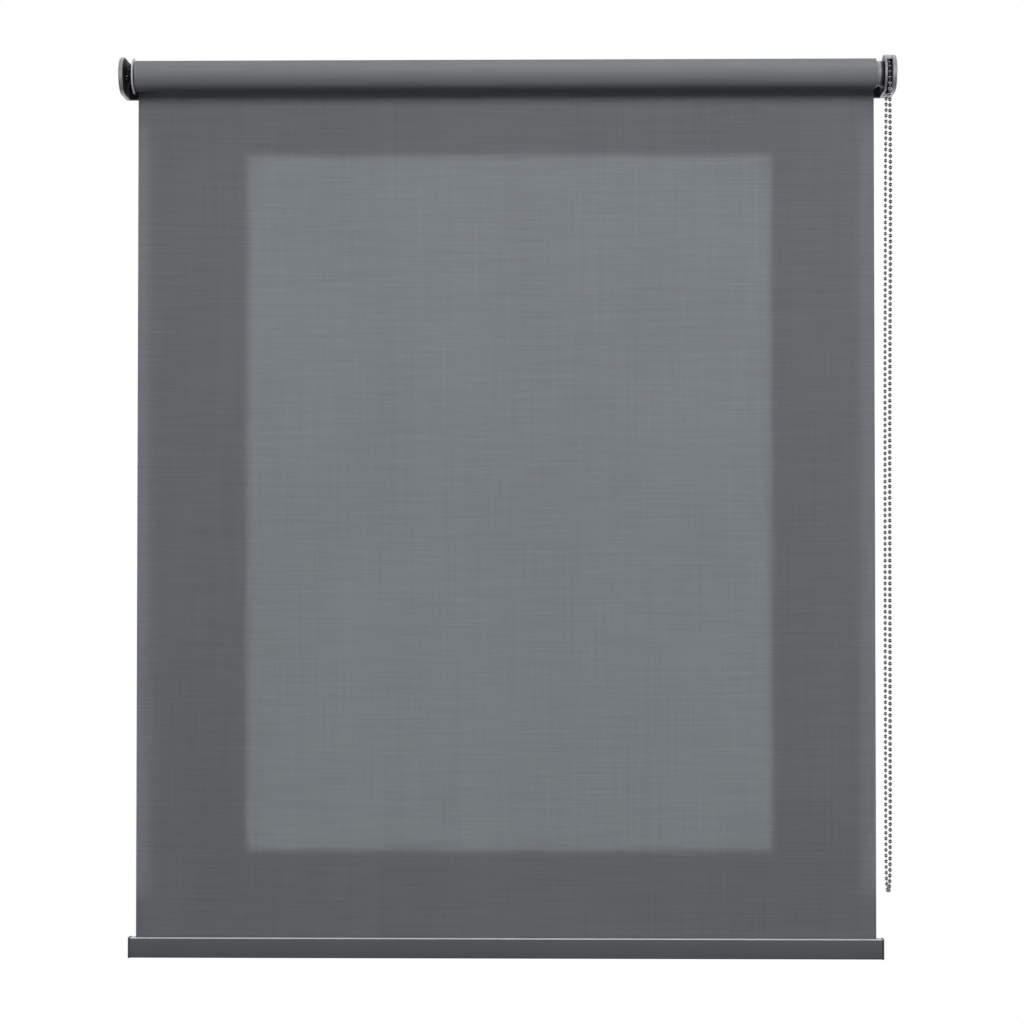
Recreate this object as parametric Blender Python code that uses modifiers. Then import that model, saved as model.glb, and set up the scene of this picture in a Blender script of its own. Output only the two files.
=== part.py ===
"""Roller blind with a bead chain, hung between two wall brackets.

The frame's origin lies on the wall, midway between the brackets, at the height
of the roller's axis. +X runs towards the chain, +Y into the wall and +Z up.
Sizes are in metres. Every moving piece has its origin, or its parent empty,
on the axis of its joint.
"""

import math

import bmesh
import bpy
from mathutils import Euler, Matrix, Vector

MM = 0.001

# Overall
OVERALL_WIDTH = 823 * MM  # over the outer faces of both end covers
AXIS_TO_WALL = 34 * MM
SIDE_SHIFT = -2.3 * MM  # the fabric's centre lies left of the brackets' centre
FIT_GAP = 0.3 * MM  # between neighbours that touch

# Fabric
FABRIC_WIDTH = 786 * MM
FABRIC_THICKNESS = 0.4 * MM
FABRIC_DROP = 916 * MM  # roller axis to the top of the bottom rail
ROLL_RADIUS = 16.0 * MM
TAPE_THICKNESS = 0.2 * MM
TAPE_ANGLE = math.radians(50)
TAPE_INSET = 5 * MM

# Roller
TUBE_RADIUS = 12.5 * MM
TUBE_WALL = 1.0 * MM
TUBE_OVERHANG = 0.4 * MM  # past the fabric at the left

# End brackets
BRACKET_RADIUS = 20 * MM  # of the cover's round front, half the bracket's height
COVER_DEPTH = 4.6 * MM
COVER_WALL = 1.2 * MM
STEEL = 2.0 * MM
WALL_PLATE_WIDTH = 28 * MM
SCREW_SLOT_WIDTH = 5.5 * MM
SCREW_SLOT_LENGTH = 10 * MM
SCREW_SLOT_OFFSET = 6.5 * MM  # above and below the axis
SCREW_SLOT_FROM_END = 9 * MM  # from the plate's inner edge
EDGE_BEVEL = 0.5 * MM

# Idle end
PIN_RADIUS = 3.0 * MM
PIN_COLLAR_RADIUS = 4.9 * MM
PIN_COLLAR_WIDTH = 2.0 * MM
PIN_TIP_GAP = 0.4 * MM
PIN_GUIDE = 17 * MM  # length of the pin behind its collar
INSERT_THICKNESS = 1.8 * MM
INSERT_CHANNEL_HEIGHT = 11 * MM
INSERT_CHANNEL_DEPTH = 0.6 * MM
IDLE_FLANGE_RADIUS = 19 * MM
IDLE_FLANGE_THICKNESS = 1.2 * MM
IDLE_FLANGE_GAP = 1.4 * MM  # to the fabric's edge
PLUG_LENGTH = 44 * MM
PLUG_NECK_RADIUS = 8 * MM
PLUG_NECK_LENGTH = 6.5 * MM
PLUG_END_WALL = 2.5 * MM
PLUG_CHAMBER_RADIUS = 5.6 * MM
PIN_SPRING_WIRE = 0.5 * MM  # wire radius
PIN_SPRING_TURNS = 8

# Control end, from the outside in
CHAIN_SIDE_ROOM = 0.55 * MM  # beside the beads, in the housing's slot
CHAIN_CLEARANCE = 0.4 * MM  # outside the beads, in the wheel's cavity
HOUSING_OUTER_WALL = 1.1 * MM
HOUSING_INNER_WALL = 2.6 * MM
HOUSING_TOP_ANGLE = 40  # degrees above the axis, where its round ends at the back
WINDOW_TOP = 13.5 * MM
WINDOW_BACK_ROOM = 1.0 * MM
CORE_RADIUS = 5.0 * MM
CORE_LENGTH = 57 * MM
CORE_FLANGE_RADIUS = 8 * MM
SCREW_RADIUS = 1.7 * MM
SCREW_HEAD_RADIUS = 3.6 * MM
SCREW_LENGTH = 12 * MM
SLEEVE_RADIUS = 7.5 * MM
SLEEVE_LENGTH = 26 * MM
WHEEL_BOSS_RADIUS = 9 * MM
HUB_FLANGE_RADIUS = 13.6 * MM
HUB_FLANGE_WIDTH = 2.9 * MM
HUB_COLLAR_RADIUS = 13 * MM
HUB_RADIUS = 9 * MM
HUB_LENGTH = 42 * MM
ADAPTER_FLANGE_RADIUS = 13.8 * MM
ADAPTER_FLANGE_WIDTH = 1.4 * MM
ADAPTER_LENGTH = 46 * MM
WRAP_WIRE = 0.5 * MM  # wire radius
WRAP_TURNS = 6
WRAP_SPRING_LENGTH = 8 * MM

# Bead chain
BEAD_DIAMETER = 4.5 * MM
BEAD_PITCH = 6.0 * MM
WHEEL_POCKETS = 16
CONNECTOR_HALF_LENGTH = 3.5 * MM
CONNECTOR_RADIUS = 2.8 * MM

# Bottom rail
RAIL_LENGTH = 801 * MM
RAIL_HEIGHT = 21.2 * MM
RAIL_DEPTH = 14 * MM
RAIL_WALL = 1.4 * MM
RAIL_CORNER = 1.2 * MM
RAIL_SLOT = 3.4 * MM
RAIL_CHANNEL = 5.6 * MM  # height of the channel that holds the fabric
CAP_THICKNESS = 2.0 * MM
CAP_PROUD = 0.4 * MM
CAP_SPIGOT = 10 * MM
KEEPER_HEIGHT = 4 * MM
KEEPER_WIDTH = 9 * MM

SEGMENTS = 32

# Places worked out from the sizes
AXIS_Y = -AXIS_TO_WALL
LEFT_FACE = -OVERALL_WIDTH / 2
RIGHT_FACE = OVERALL_WIDTH / 2
FABRIC_LEFT = SIDE_SHIFT - FABRIC_WIDTH / 2
FABRIC_RIGHT = SIDE_SHIFT + FABRIC_WIDTH / 2
FABRIC_Y = AXIS_Y + ROLL_RADIUS + FIT_GAP + FABRIC_THICKNESS / 2
SLOT_WIDTH = BEAD_DIAMETER + 2 * CHAIN_SIDE_ROOM
CHAIN_X = RIGHT_FACE - COVER_DEPTH - FIT_GAP - SLOT_WIDTH / 2
WHEEL_PITCH_RADIUS = BEAD_PITCH / (2 * math.sin(math.pi / WHEEL_POCKETS))
RAIL_LEFT = SIDE_SHIFT - RAIL_LENGTH / 2
RAIL_RIGHT = SIDE_SHIFT + RAIL_LENGTH / 2
TUBE_LEFT = FABRIC_LEFT - TUBE_OVERHANG
TUBE_BORE = TUBE_RADIUS - TUBE_WALL
PLATE_RADIUS = BRACKET_RADIUS - COVER_WALL - FIT_GAP

# The chain's two strands, as (the front strand's lean towards the fabric, the back
# strand's, both strands' distance from the axis, height). The points are chosen by
# hand. The loop hangs a little twisted, so its back strand leans further in.
CHAIN_ROUTE = [
    (0.00 * MM, 0.00 * MM, 15.38 * MM, -0.3 * MM),
    (-0.10 * MM, 0.20 * MM, 15.38 * MM, -30 * MM),
    (-0.40 * MM, 0.90 * MM, 15.38 * MM, -80 * MM),
    (-0.20 * MM, 1.50 * MM, 15.38 * MM, -180 * MM),
    (0.70 * MM, 2.20 * MM, 15.36 * MM, -300 * MM),
    (1.35 * MM, 2.60 * MM, 15.32 * MM, -420 * MM),
    (1.60 * MM, 2.95 * MM, 15.25 * MM, -560 * MM),
    (1.75 * MM, 3.05 * MM, 15.10 * MM, -700 * MM),
    (1.95 * MM, 3.05 * MM, 14.75 * MM, -800 * MM),
    (2.20 * MM, 2.95 * MM, 13.20 * MM, -843 * MM),
    (2.35 * MM, 2.75 * MM, 10.50 * MM, -856 * MM),
    (2.40 * MM, 2.55 * MM, 7.60 * MM, -861 * MM),
    (2.40 * MM, 2.45 * MM, 5.60 * MM, -862.1 * MM),
    (2.40 * MM, 2.40 * MM, 3.80 * MM, -862.2 * MM),
]
CONNECTOR_LEAN = 2.40 * MM
CONNECTOR_Z = -862.2 * MM


def clear_scene():
    """Remove every object of the scene that the script starts in."""
    for obj in list(bpy.data.objects):
        bpy.data.objects.remove(obj, do_unlink=True)


def new_collection(name):
    collection = bpy.data.collections.new(name)
    bpy.context.scene.collection.children.link(collection)
    return collection


clear_scene()
PARTS = new_collection("roller_blind")
CUTTERS = new_collection("roller_blind_cutters")


def material(name, colour, roughness, metallic=0.0):
    """A Principled material of one colour."""
    mat = bpy.data.materials.new(name)
    mat.use_nodes = True
    shader = mat.node_tree.nodes["Principled BSDF"]
    shader.inputs["Base Color"].default_value = (*colour, 1.0)
    shader.inputs["Roughness"].default_value = roughness
    shader.inputs["Metallic"].default_value = metallic
    return mat


SILVER = material("silver_paint", (0.55, 0.56, 0.58), 0.4, 0.6)
ZINC = material("zinc_plate", (0.5, 0.5, 0.5), 0.35, 1.0)
BLACK = material("black_plastic", (0.02, 0.02, 0.022), 0.5)
PALE = material("pale_plastic", (0.62, 0.61, 0.58), 0.45)
DARK = material("dark_plastic", (0.09, 0.08, 0.1), 0.5)
STEEL_WIRE = material("spring_steel", (0.4, 0.4, 0.42), 0.3, 1.0)
CHROME = material("bead_chrome", (0.8, 0.8, 0.8), 0.12, 1.0)
GREY_RAIL = material("rail_paint", (0.1, 0.1, 0.105), 0.5, 0.3)
FABRIC = material("anthracite_fabric", (0.06, 0.062, 0.066), 0.9)


def add_object(name, mesh, mat=None, location=(0, 0, 0), rotation=(0, 0, 0)):
    """Link a mesh as a part; without a material it becomes a hidden cutter."""
    obj = bpy.data.objects.new(name, mesh)
    obj.location = location
    obj.rotation_euler = rotation
    if mat is None:
        CUTTERS.objects.link(obj)
        obj.hide_render = True
        obj.display_type = "WIRE"
    else:
        PARTS.objects.link(obj)
        mesh.materials.append(mat)
    return obj


def curve_to_mesh(name, curve):
    """The closed mesh that a curve draws, with its loose caps welded."""
    holder = bpy.data.objects.new(name + "_curve", curve)
    bpy.context.scene.collection.objects.link(holder)
    graph = bpy.context.evaluated_depsgraph_get()
    mesh = bpy.data.meshes.new_from_object(holder.evaluated_get(graph))
    bpy.data.objects.remove(holder, do_unlink=True)
    work = bmesh.new()
    work.from_mesh(mesh)
    bmesh.ops.remove_doubles(work, verts=work.verts, dist=0.00001)
    bmesh.ops.recalc_face_normals(work, faces=work.faces)
    work.to_mesh(mesh)
    work.free()
    mesh.name = name
    return mesh


def smooth(mesh, angle=40):
    mesh.shade_smooth()
    mesh.set_sharp_from_angle(angle=math.radians(angle))


ACROSS = (math.radians(90), 0, math.radians(90))  # local X, Y, Z to +Y, +Z, +X


def slab(name, outlines, x_low, x_high, mat=None, centre=(0, 0)):
    """Outlines of (y, z) points, the first solid and the rest holes, extruded along X."""
    curve = bpy.data.curves.new(name, "CURVE")
    curve.dimensions = "2D"
    curve.fill_mode = "BOTH"
    curve.extrude = (x_high - x_low) / 2
    for outline in outlines:
        spline = curve.splines.new("POLY")
        spline.points.add(len(outline) - 1)
        for point, (y, z) in zip(spline.points, outline):
            point.co = (y, z, 0, 1)
        spline.use_cyclic_u = True
    mesh = curve_to_mesh(name, curve)
    smooth(mesh)
    place = ((x_low + x_high) / 2, centre[0], centre[1])
    return add_object(name, mesh, mat, place, ACROSS)


def turned(name, profile, mat=None, y=AXIS_Y, z=0.0, steps=SEGMENTS):
    """Turn a profile of (x, radius) points about the line along X through (y, z).

    The profile runs along the outer side from the +X end to the -X end, and back
    along the bore of a hollow piece. A solid piece starts and ends on the axis.
    """
    mesh = bpy.data.meshes.new(name)
    hollow = profile[0][1] > 0
    count = len(profile)
    edges = [(i, i + 1) for i in range(count - 1)]
    if hollow:
        edges.append((count - 1, 0))
    mesh.from_pydata([(radius, 0, x) for x, radius in profile], edges, [])
    obj = add_object(name, mesh, mat, (0, y, z), (0, math.radians(90), 0))
    screw = obj.modifiers.new("turn", "SCREW")
    screw.axis = "Z"
    screw.steps = steps
    screw.render_steps = steps
    screw.use_merge_vertices = True
    screw.merge_threshold = 0.00001
    screw.use_smooth_shade = True
    graph = bpy.context.evaluated_depsgraph_get()
    made = bpy.data.meshes.new_from_object(obj.evaluated_get(graph))
    obj.modifiers.clear()
    obj.data = made
    bpy.data.meshes.remove(mesh)
    made.name = name
    smooth(made)
    return obj


def box(name, low, high, mat=None):
    """A cube primitive stretched between two opposite corners."""
    mesh = bpy.data.meshes.new(name)
    work = bmesh.new()
    bmesh.ops.create_cube(work, size=1.0)
    size = Vector(high) - Vector(low)
    bmesh.ops.scale(work, vec=size, verts=work.verts)
    work.to_mesh(mesh)
    work.free()
    return add_object(name, mesh, mat, (Vector(low) + Vector(high)) / 2)


def wire(name, points, radius, mat, resolution=2):
    """A round wire with filled caps through world points."""
    curve = bpy.data.curves.new(name, "CURVE")
    curve.dimensions = "3D"
    curve.bevel_depth = radius
    curve.bevel_resolution = resolution
    curve.use_fill_caps = True
    spline = curve.splines.new("POLY")
    spline.points.add(len(points) - 1)
    for point, place in zip(spline.points, points):
        point.co = (*place, 1)
    mesh = curve_to_mesh(name, curve)
    mesh.transform(Matrix.Translation((0, -AXIS_Y, 0)))
    smooth(mesh, 60)
    return add_object(name, mesh, mat, (0, AXIS_Y, 0))


def boolean(obj, other, operation="DIFFERENCE"):
    """Cut obj by a cutter, or join a scratch solid to it, and keep the result."""
    modifier = obj.modifiers.new(operation.lower(), "BOOLEAN")
    modifier.operation = operation
    modifier.solver = "EXACT"
    modifier.object = other
    graph = bpy.context.evaluated_depsgraph_get()
    mesh = bpy.data.meshes.new_from_object(obj.evaluated_get(graph))
    obj.modifiers.clear()
    obj.data = mesh
    smooth(mesh)


def bevel(obj, width=EDGE_BEVEL, segments=2):
    modifier = obj.modifiers.new("edges", "BEVEL")
    modifier.width = width
    modifier.segments = segments
    modifier.limit_method = "ANGLE"
    modifier.angle_limit = math.radians(50)


def arc(centre, radius, start, end, steps):
    """Points of an arc in the (y, z) plane, angles in degrees from +Y to +Z."""
    points = []
    for i in range(steps + 1):
        angle = math.radians(start + (end - start) * i / steps)
        y = centre[0] + radius * math.cos(angle)
        z = centre[1] + radius * math.sin(angle)
        points.append((y, z))
    return points


def end_profile(radius, back, top=90):
    """The end bracket's side view: straight from the wall, round at the front.

    The round starts at this angle above the axis, so that less than 90 degrees
    leaves the upper edge lower at the back.
    """
    front = arc((0, 0), radius, top, 270, 24)
    return [(back, front[0][1])] + front + [(back, -radius)]


def helix(x_start, x_end, radius, turns, per_turn=14):
    """Points of a coil about the roller's axis."""
    points = []
    for i in range(turns * per_turn + 1):
        share = i / (turns * per_turn)
        angle = 2 * math.pi * turns * share
        x = x_start + (x_end - x_start) * share
        y = AXIS_Y + radius * math.cos(angle)
        points.append((x, y, radius * math.sin(angle)))
    return points


def smooth_route(points, spacing):
    """Points about one spacing apart on a centripetal Catmull-Rom curve."""
    places = [Vector(point) for point in points]
    places.insert(0, 2 * places[0] - places[1])
    places.append(2 * places[-1] - places[-2])
    result = [places[1]]
    for a, b, c, d in zip(places, places[1:], places[2:], places[3:]):
        knots = [0.0]
        for start, end in ((a, b), (b, c), (c, d)):
            knots.append(knots[-1] + (end - start).length ** 0.5)
        steps = max(2, math.ceil((c - b).length / spacing))
        for i in range(1, steps + 1):
            t = knots[1] + (knots[2] - knots[1]) * i / steps
            result.append(catmull_rom((a, b, c, d), knots, t))
    return result


def blend(start, end, low, high, t):
    """start at t = low and end at t = high, in a straight line between."""
    return (start * (high - t) + end * (t - low)) / (high - low)


def catmull_rom(points, knots, t):
    """The Barry and Goldman pyramid: blend neighbours three times over."""
    first = [blend(points[i], points[i + 1], knots[i], knots[i + 1], t) for i in range(3)]
    second = [blend(first[i], first[i + 1], knots[i], knots[i + 2], t) for i in range(2)]
    return blend(second[0], second[1], knots[1], knots[2], t)


def empty(name, location):
    marker = bpy.data.objects.new(name, None)
    marker.empty_display_size = 0.02
    marker.location = location
    PARTS.objects.link(marker)
    return marker


def carry(parent, *pieces):
    """Parent pieces to an empty without moving them."""
    for piece in pieces:
        piece.parent = parent
        piece.location = Vector(piece.location) - Vector(parent.location)


def bracket_steel(name, side):
    """One bent steel plate: a round-fronted side and a slotted wall plate."""
    outer = side * (OVERALL_WIDTH / 2 - COVER_WALL - FIT_GAP)
    inner = outer - side * STEEL
    plate_end = outer - side * WALL_PLATE_WIDTH
    low, high = sorted((outer, inner))
    profile = end_profile(PLATE_RADIUS, AXIS_TO_WALL - STEEL / 2)
    steel = slab(name, [profile], low, high, ZINC, (AXIS_Y, 0))
    low, high = sorted((outer, plate_end))
    plate = box(
        name + "_plate",
        (low, -STEEL, -BRACKET_RADIUS),
        (high, 0, BRACKET_RADIUS),
    )
    boolean(steel, plate, "UNION")
    slot_x = plate_end + side * SCREW_SLOT_FROM_END
    for level in (-SCREW_SLOT_OFFSET, SCREW_SLOT_OFFSET):
        straight = (SCREW_SLOT_LENGTH - SCREW_SLOT_WIDTH) / 2
        curve = bpy.data.curves.new(name + "_slot", "CURVE")
        curve.dimensions = "2D"
        curve.fill_mode = "BOTH"
        curve.extrude = 2 * STEEL
        ring = arc((straight, 0), SCREW_SLOT_WIDTH / 2, -90, 90, 8)
        ring += arc((-straight, 0), SCREW_SLOT_WIDTH / 2, 90, 270, 8)
        spline = curve.splines.new("POLY")
        spline.points.add(len(ring) - 1)
        for point, (u, v) in zip(spline.points, ring):
            point.co = (u, v, 0, 1)
        spline.use_cyclic_u = True
        cutter = add_object(
            name + "_slot",
            curve_to_mesh(name + "_slot", curve),
            None,
            (slot_x, -STEEL / 2, level),
            (math.radians(90), 0, 0),
        )
        boolean(steel, cutter)
    return steel


def bracket_cover(name, side):
    """The cap over a bracket's outside: a face with a rim, open towards the wall."""
    face = side * OVERALL_WIDTH / 2
    rim = face - side * COVER_DEPTH
    room = face - side * COVER_WALL
    back = AXIS_TO_WALL - STEEL - FIT_GAP
    low, high = sorted((face, rim))
    cover = slab(name, [end_profile(BRACKET_RADIUS, back)], low, high, SILVER, (AXIS_Y, 0))
    past = rim - side * COVER_WALL
    low, high = sorted((room, past))
    hollow = end_profile(BRACKET_RADIUS - COVER_WALL, back + COVER_WALL)
    cutter = slab(name + "_room", [hollow], low, high, None, (AXIS_Y, 0))
    boolean(cover, cutter)
    bevel(cover)
    return cover


def hole(obj, x_low, x_high, radius, y=AXIS_Y, z=0.0):
    """Cut a round hole along X."""
    profile = [(x_high, 0), (x_high, radius), (x_low, radius), (x_low, 0)]
    boolean(obj, turned(obj.name + "_hole", profile, None, y, z, 24))


def left_end():
    """The bracket, cover and bearing insert that carry the idle pin."""
    steel = bracket_steel("left_bracket", -1)
    steel_inner = LEFT_FACE + COVER_WALL + FIT_GAP + STEEL
    hole(steel, LEFT_FACE, steel_inner + STEEL, PIN_RADIUS + FIT_GAP)
    bracket_cover("left_cover", -1)
    start = steel_inner + FIT_GAP
    back = AXIS_TO_WALL - STEEL - FIT_GAP
    insert = slab(
        "left_bearing_insert",
        [end_profile(PLATE_RADIUS, back)],
        start,
        start + INSERT_THICKNESS,
        BLACK,
        (AXIS_Y, 0),
    )
    channel = box(
        "insert_channel",
        (
            start + INSERT_THICKNESS - INSERT_CHANNEL_DEPTH,
            AXIS_Y - 2 * BRACKET_RADIUS,
            -INSERT_CHANNEL_HEIGHT / 2,
        ),
        (
            start + 2 * INSERT_THICKNESS,
            AXIS_Y + INSERT_CHANNEL_HEIGHT / 2,
            INSERT_CHANNEL_HEIGHT / 2,
        ),
    )
    boolean(insert, channel)
    hole(insert, LEFT_FACE, start + 2 * INSERT_THICKNESS, PIN_RADIUS + FIT_GAP)


def control_end():
    """The bracket, cover, slotted housing and fixed core of the chain control."""
    steel = bracket_steel("right_bracket", 1)
    steel_outer = RIGHT_FACE - COVER_WALL - FIT_GAP
    steel_inner = steel_outer - STEEL
    bracket_cover("control_cover", 1)

    slot_high = RIGHT_FACE - COVER_DEPTH - FIT_GAP
    slot_low = slot_high - SLOT_WIDTH
    wall_low = slot_low - HOUSING_INNER_WALL
    outer_high = slot_high + HOUSING_OUTER_WALL
    back = AXIS_TO_WALL - STEEL - FIT_GAP
    housing = slab(
        "control_housing",
        [end_profile(BRACKET_RADIUS, back, HOUSING_TOP_ANGLE)],
        wall_low,
        slot_high,
        SILVER,
        (AXIS_Y, 0),
    )
    inside = slab(
        "housing_outer_wall",
        [end_profile(PLATE_RADIUS, back - COVER_WALL, HOUSING_TOP_ANGLE)],
        slot_high - FIT_GAP,
        outer_high,
        None,
        (AXIS_Y, 0),
    )
    boolean(housing, inside, "UNION")
    cavity = WHEEL_PITCH_RADIUS + BEAD_DIAMETER / 2 + CHAIN_CLEARANCE
    hole(housing, slot_low, slot_high, cavity)
    window = box(
        "housing_window",
        (slot_low, AXIS_Y - 2 * BRACKET_RADIUS, -2 * BRACKET_RADIUS),
        (slot_high, AXIS_Y + cavity + WINDOW_BACK_ROOM, 0),
    )
    boolean(housing, window)
    front = box(
        "housing_front",
        (slot_low, AXIS_Y - 2 * BRACKET_RADIUS, -FIT_GAP),
        (slot_high, AXIS_Y, WINDOW_TOP),
    )
    boolean(housing, front)
    hole(housing, wall_low - STEEL, slot_low + FIT_GAP, WHEEL_BOSS_RADIUS + FIT_GAP)
    hole(housing, slot_high - FIT_GAP, outer_high + STEEL, CORE_FLANGE_RADIUS + FIT_GAP)
    bevel(housing, EDGE_BEVEL / 2, 1)

    core_high = outer_high
    flange_low = slot_high + FIT_GAP
    core_low = core_high - CORE_LENGTH
    bore = SCREW_RADIUS + FIT_GAP
    bore_low = core_high - SCREW_LENGTH
    turned(
        "control_core",
        [
            (core_high, bore),
            (core_high, CORE_FLANGE_RADIUS),
            (flange_low, CORE_FLANGE_RADIUS),
            (flange_low, CORE_RADIUS),
            (core_low, CORE_RADIUS),
            (core_low, bore / 2),
            (bore_low, bore / 2),
            (bore_low, bore),
        ],
        BLACK,
        steps=24,
    )
    countersink = SCREW_HEAD_RADIUS - SCREW_RADIUS
    seat = [
        (steel_outer + STEEL, 0),
        (steel_outer + STEEL, SCREW_HEAD_RADIUS + FIT_GAP),
        (steel_outer, SCREW_HEAD_RADIUS + FIT_GAP),
        (steel_outer - countersink, bore),
        (steel_inner - STEEL, bore),
        (steel_inner - STEEL, 0),
    ]
    boolean(steel, turned("screw_seat", seat, None, steps=24))
    turned(
        "core_screw",
        [
            (steel_outer, 0),
            (steel_outer, SCREW_HEAD_RADIUS),
            (steel_outer - countersink, SCREW_RADIUS),
            (bore_low + STEEL, SCREW_RADIUS),
            (bore_low + STEEL, 0),
        ],
        ZINC,
        steps=24,
    )

    spring_radius = CORE_RADIUS + FIT_GAP + WRAP_WIRE
    spring_low = core_low + STEEL
    for name in ("wrap_spring_inner", "wrap_spring_outer"):
        spring_high = spring_low + WRAP_SPRING_LENGTH
        coil = helix(spring_low, spring_high, spring_radius, WRAP_TURNS)
        wire(name, coil, WRAP_WIRE, STEEL_WIRE)
        spring_low = spring_high + STEEL


def drive():
    """The chain wheel, and the hub that it turns; both run on the core."""
    slot_low = CHAIN_X - SLOT_WIDTH / 2
    wheel_low = slot_low + FIT_GAP
    wheel_high = CHAIN_X + SLOT_WIDTH / 2 - FIT_GAP
    half = (wheel_high - wheel_low) / 2
    seat = WHEEL_PITCH_RADIUS - BEAD_DIAMETER / 2
    clearance = 1.6 * FIT_GAP
    edge = seat + half * math.tan(math.radians(20))
    bore = CORE_RADIUS + FIT_GAP
    boss_low = slot_low - HOUSING_INNER_WALL - FIT_GAP
    wheel = turned(
        "chain_wheel",
        [
            (wheel_high, bore),
            (wheel_high, edge - clearance),
            (CHAIN_X, seat - clearance),
            (wheel_low, edge - clearance),
            (wheel_low, WHEEL_BOSS_RADIUS),
            (boss_low, WHEEL_BOSS_RADIUS),
            (boss_low, SLEEVE_RADIUS),
            (boss_low - SLEEVE_LENGTH, SLEEVE_RADIUS),
            (boss_low - SLEEVE_LENGTH, bore),
        ],
        BLACK,
    )
    adapter_flange_low = FABRIC_RIGHT + FIT_GAP
    flange_low = boss_low - HUB_FLANGE_WIDTH
    collar_low = adapter_flange_low + ADAPTER_FLANGE_WIDTH + FIT_GAP
    hub_low = boss_low - HUB_LENGTH
    hub_bore = SLEEVE_RADIUS + FIT_GAP
    hub = turned(
        "drive_hub",
        [
            (boss_low - FIT_GAP, hub_bore),
            (boss_low - FIT_GAP, HUB_FLANGE_RADIUS),
            (flange_low, HUB_FLANGE_RADIUS),
            (flange_low, HUB_COLLAR_RADIUS),
            (collar_low, HUB_COLLAR_RADIUS),
            (collar_low, HUB_RADIUS),
            (hub_low, HUB_RADIUS),
            (hub_low, hub_bore),
        ],
        DARK,
    )
    adapter_low = adapter_flange_low - ADAPTER_LENGTH
    body = TUBE_BORE - FIT_GAP
    adapter = turned(
        "drive_adapter",
        [
            (adapter_flange_low + ADAPTER_FLANGE_WIDTH, HUB_RADIUS + FIT_GAP),
            (adapter_flange_low + ADAPTER_FLANGE_WIDTH, ADAPTER_FLANGE_RADIUS),
            (adapter_flange_low, ADAPTER_FLANGE_RADIUS),
            (adapter_flange_low, body),
            (adapter_low, body),
            (adapter_low, HUB_RADIUS + FIT_GAP),
        ],
        PALE,
    )
    return wheel, hub, adapter


def roller():
    """The tube with the wound fabric, and the idle plug with its flange."""
    tube = turned(
        "roller_tube",
        [
            (FABRIC_RIGHT, TUBE_BORE),
            (FABRIC_RIGHT, TUBE_RADIUS),
            (TUBE_LEFT, TUBE_RADIUS),
            (TUBE_LEFT, TUBE_BORE),
        ],
        ZINC,
    )
    tape_inner = TUBE_RADIUS + FIT_GAP
    tape_outer = tape_inner + TAPE_THICKNESS
    half = math.degrees(TAPE_ANGLE) / 2
    band = arc((0, 0), tape_outer, 90 - half, 90 + half, 6)
    band += arc((0, 0), tape_inner, 90 + half, 90 - half, 6)
    tape = slab(
        "fabric_tape",
        [band],
        FABRIC_LEFT + TAPE_INSET,
        FABRIC_RIGHT - TAPE_INSET,
        PALE,
        (AXIS_Y, 0),
    )
    wound = turned(
        "fabric_roll",
        [
            (FABRIC_RIGHT, tape_outer + FIT_GAP),
            (FABRIC_RIGHT, ROLL_RADIUS),
            (FABRIC_LEFT, ROLL_RADIUS),
            (FABRIC_LEFT, tape_outer + FIT_GAP),
        ],
        FABRIC,
        steps=48,
    )

    flange_high = FABRIC_LEFT - IDLE_FLANGE_GAP
    flange_low = flange_high - IDLE_FLANGE_THICKNESS
    neck_low = flange_high - PLUG_NECK_LENGTH
    shoulder = flange_high + FIT_GAP
    plug_high = shoulder + PLUG_LENGTH
    body = TUBE_BORE - FIT_GAP
    bore = PIN_RADIUS + FIT_GAP
    chamber_low = neck_low + PLUG_END_WALL + PLUG_NECK_LENGTH
    chamber_high = plug_high - PLUG_END_WALL
    plug = turned(
        "idle_plug",
        [
            (plug_high, bore),
            (plug_high, body),
            (shoulder, body),
            (shoulder, PLUG_NECK_RADIUS),
            (neck_low, PLUG_NECK_RADIUS),
            (neck_low, bore),
            (chamber_low, bore),
            (chamber_low, PLUG_CHAMBER_RADIUS),
            (chamber_high, PLUG_CHAMBER_RADIUS),
            (chamber_high, bore),
        ],
        BLACK,
    )
    flange = turned(
        "idle_flange",
        [
            (flange_high, PLUG_NECK_RADIUS + FIT_GAP),
            (flange_high, IDLE_FLANGE_RADIUS),
            (flange_low, IDLE_FLANGE_RADIUS),
            (flange_low, PLUG_NECK_RADIUS + FIT_GAP),
        ],
        PALE,
        steps=48,
    )

    collar_low = chamber_low + FIT_GAP
    collar_high = collar_low + PIN_COLLAR_WIDTH
    tip = LEFT_FACE + COVER_WALL + PIN_TIP_GAP
    guide_end = collar_high + PIN_GUIDE
    chamfer = PIN_RADIUS / 4
    pin = turned(
        "idle_pin",
        [
            (guide_end, 0),
            (guide_end, PIN_RADIUS),
            (collar_high, PIN_RADIUS),
            (collar_high, PIN_COLLAR_RADIUS),
            (collar_low, PIN_COLLAR_RADIUS),
            (collar_low, PIN_RADIUS),
            (tip + chamfer, PIN_RADIUS),
            (tip, PIN_RADIUS - chamfer),
            (tip, 0),
        ],
        ZINC,
        steps=24,
    )
    spring = wire(
        "idle_pin_spring",
        helix(
            collar_high + FIT_GAP + PIN_SPRING_WIRE,
            chamber_high - FIT_GAP - PIN_SPRING_WIRE,
            PIN_RADIUS + FIT_GAP + PIN_SPRING_WIRE,
            PIN_SPRING_TURNS,
        ),
        PIN_SPRING_WIRE,
        STEEL_WIRE,
    )
    return [tube, tape, wound, plug, flange], [pin, spring]


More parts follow.
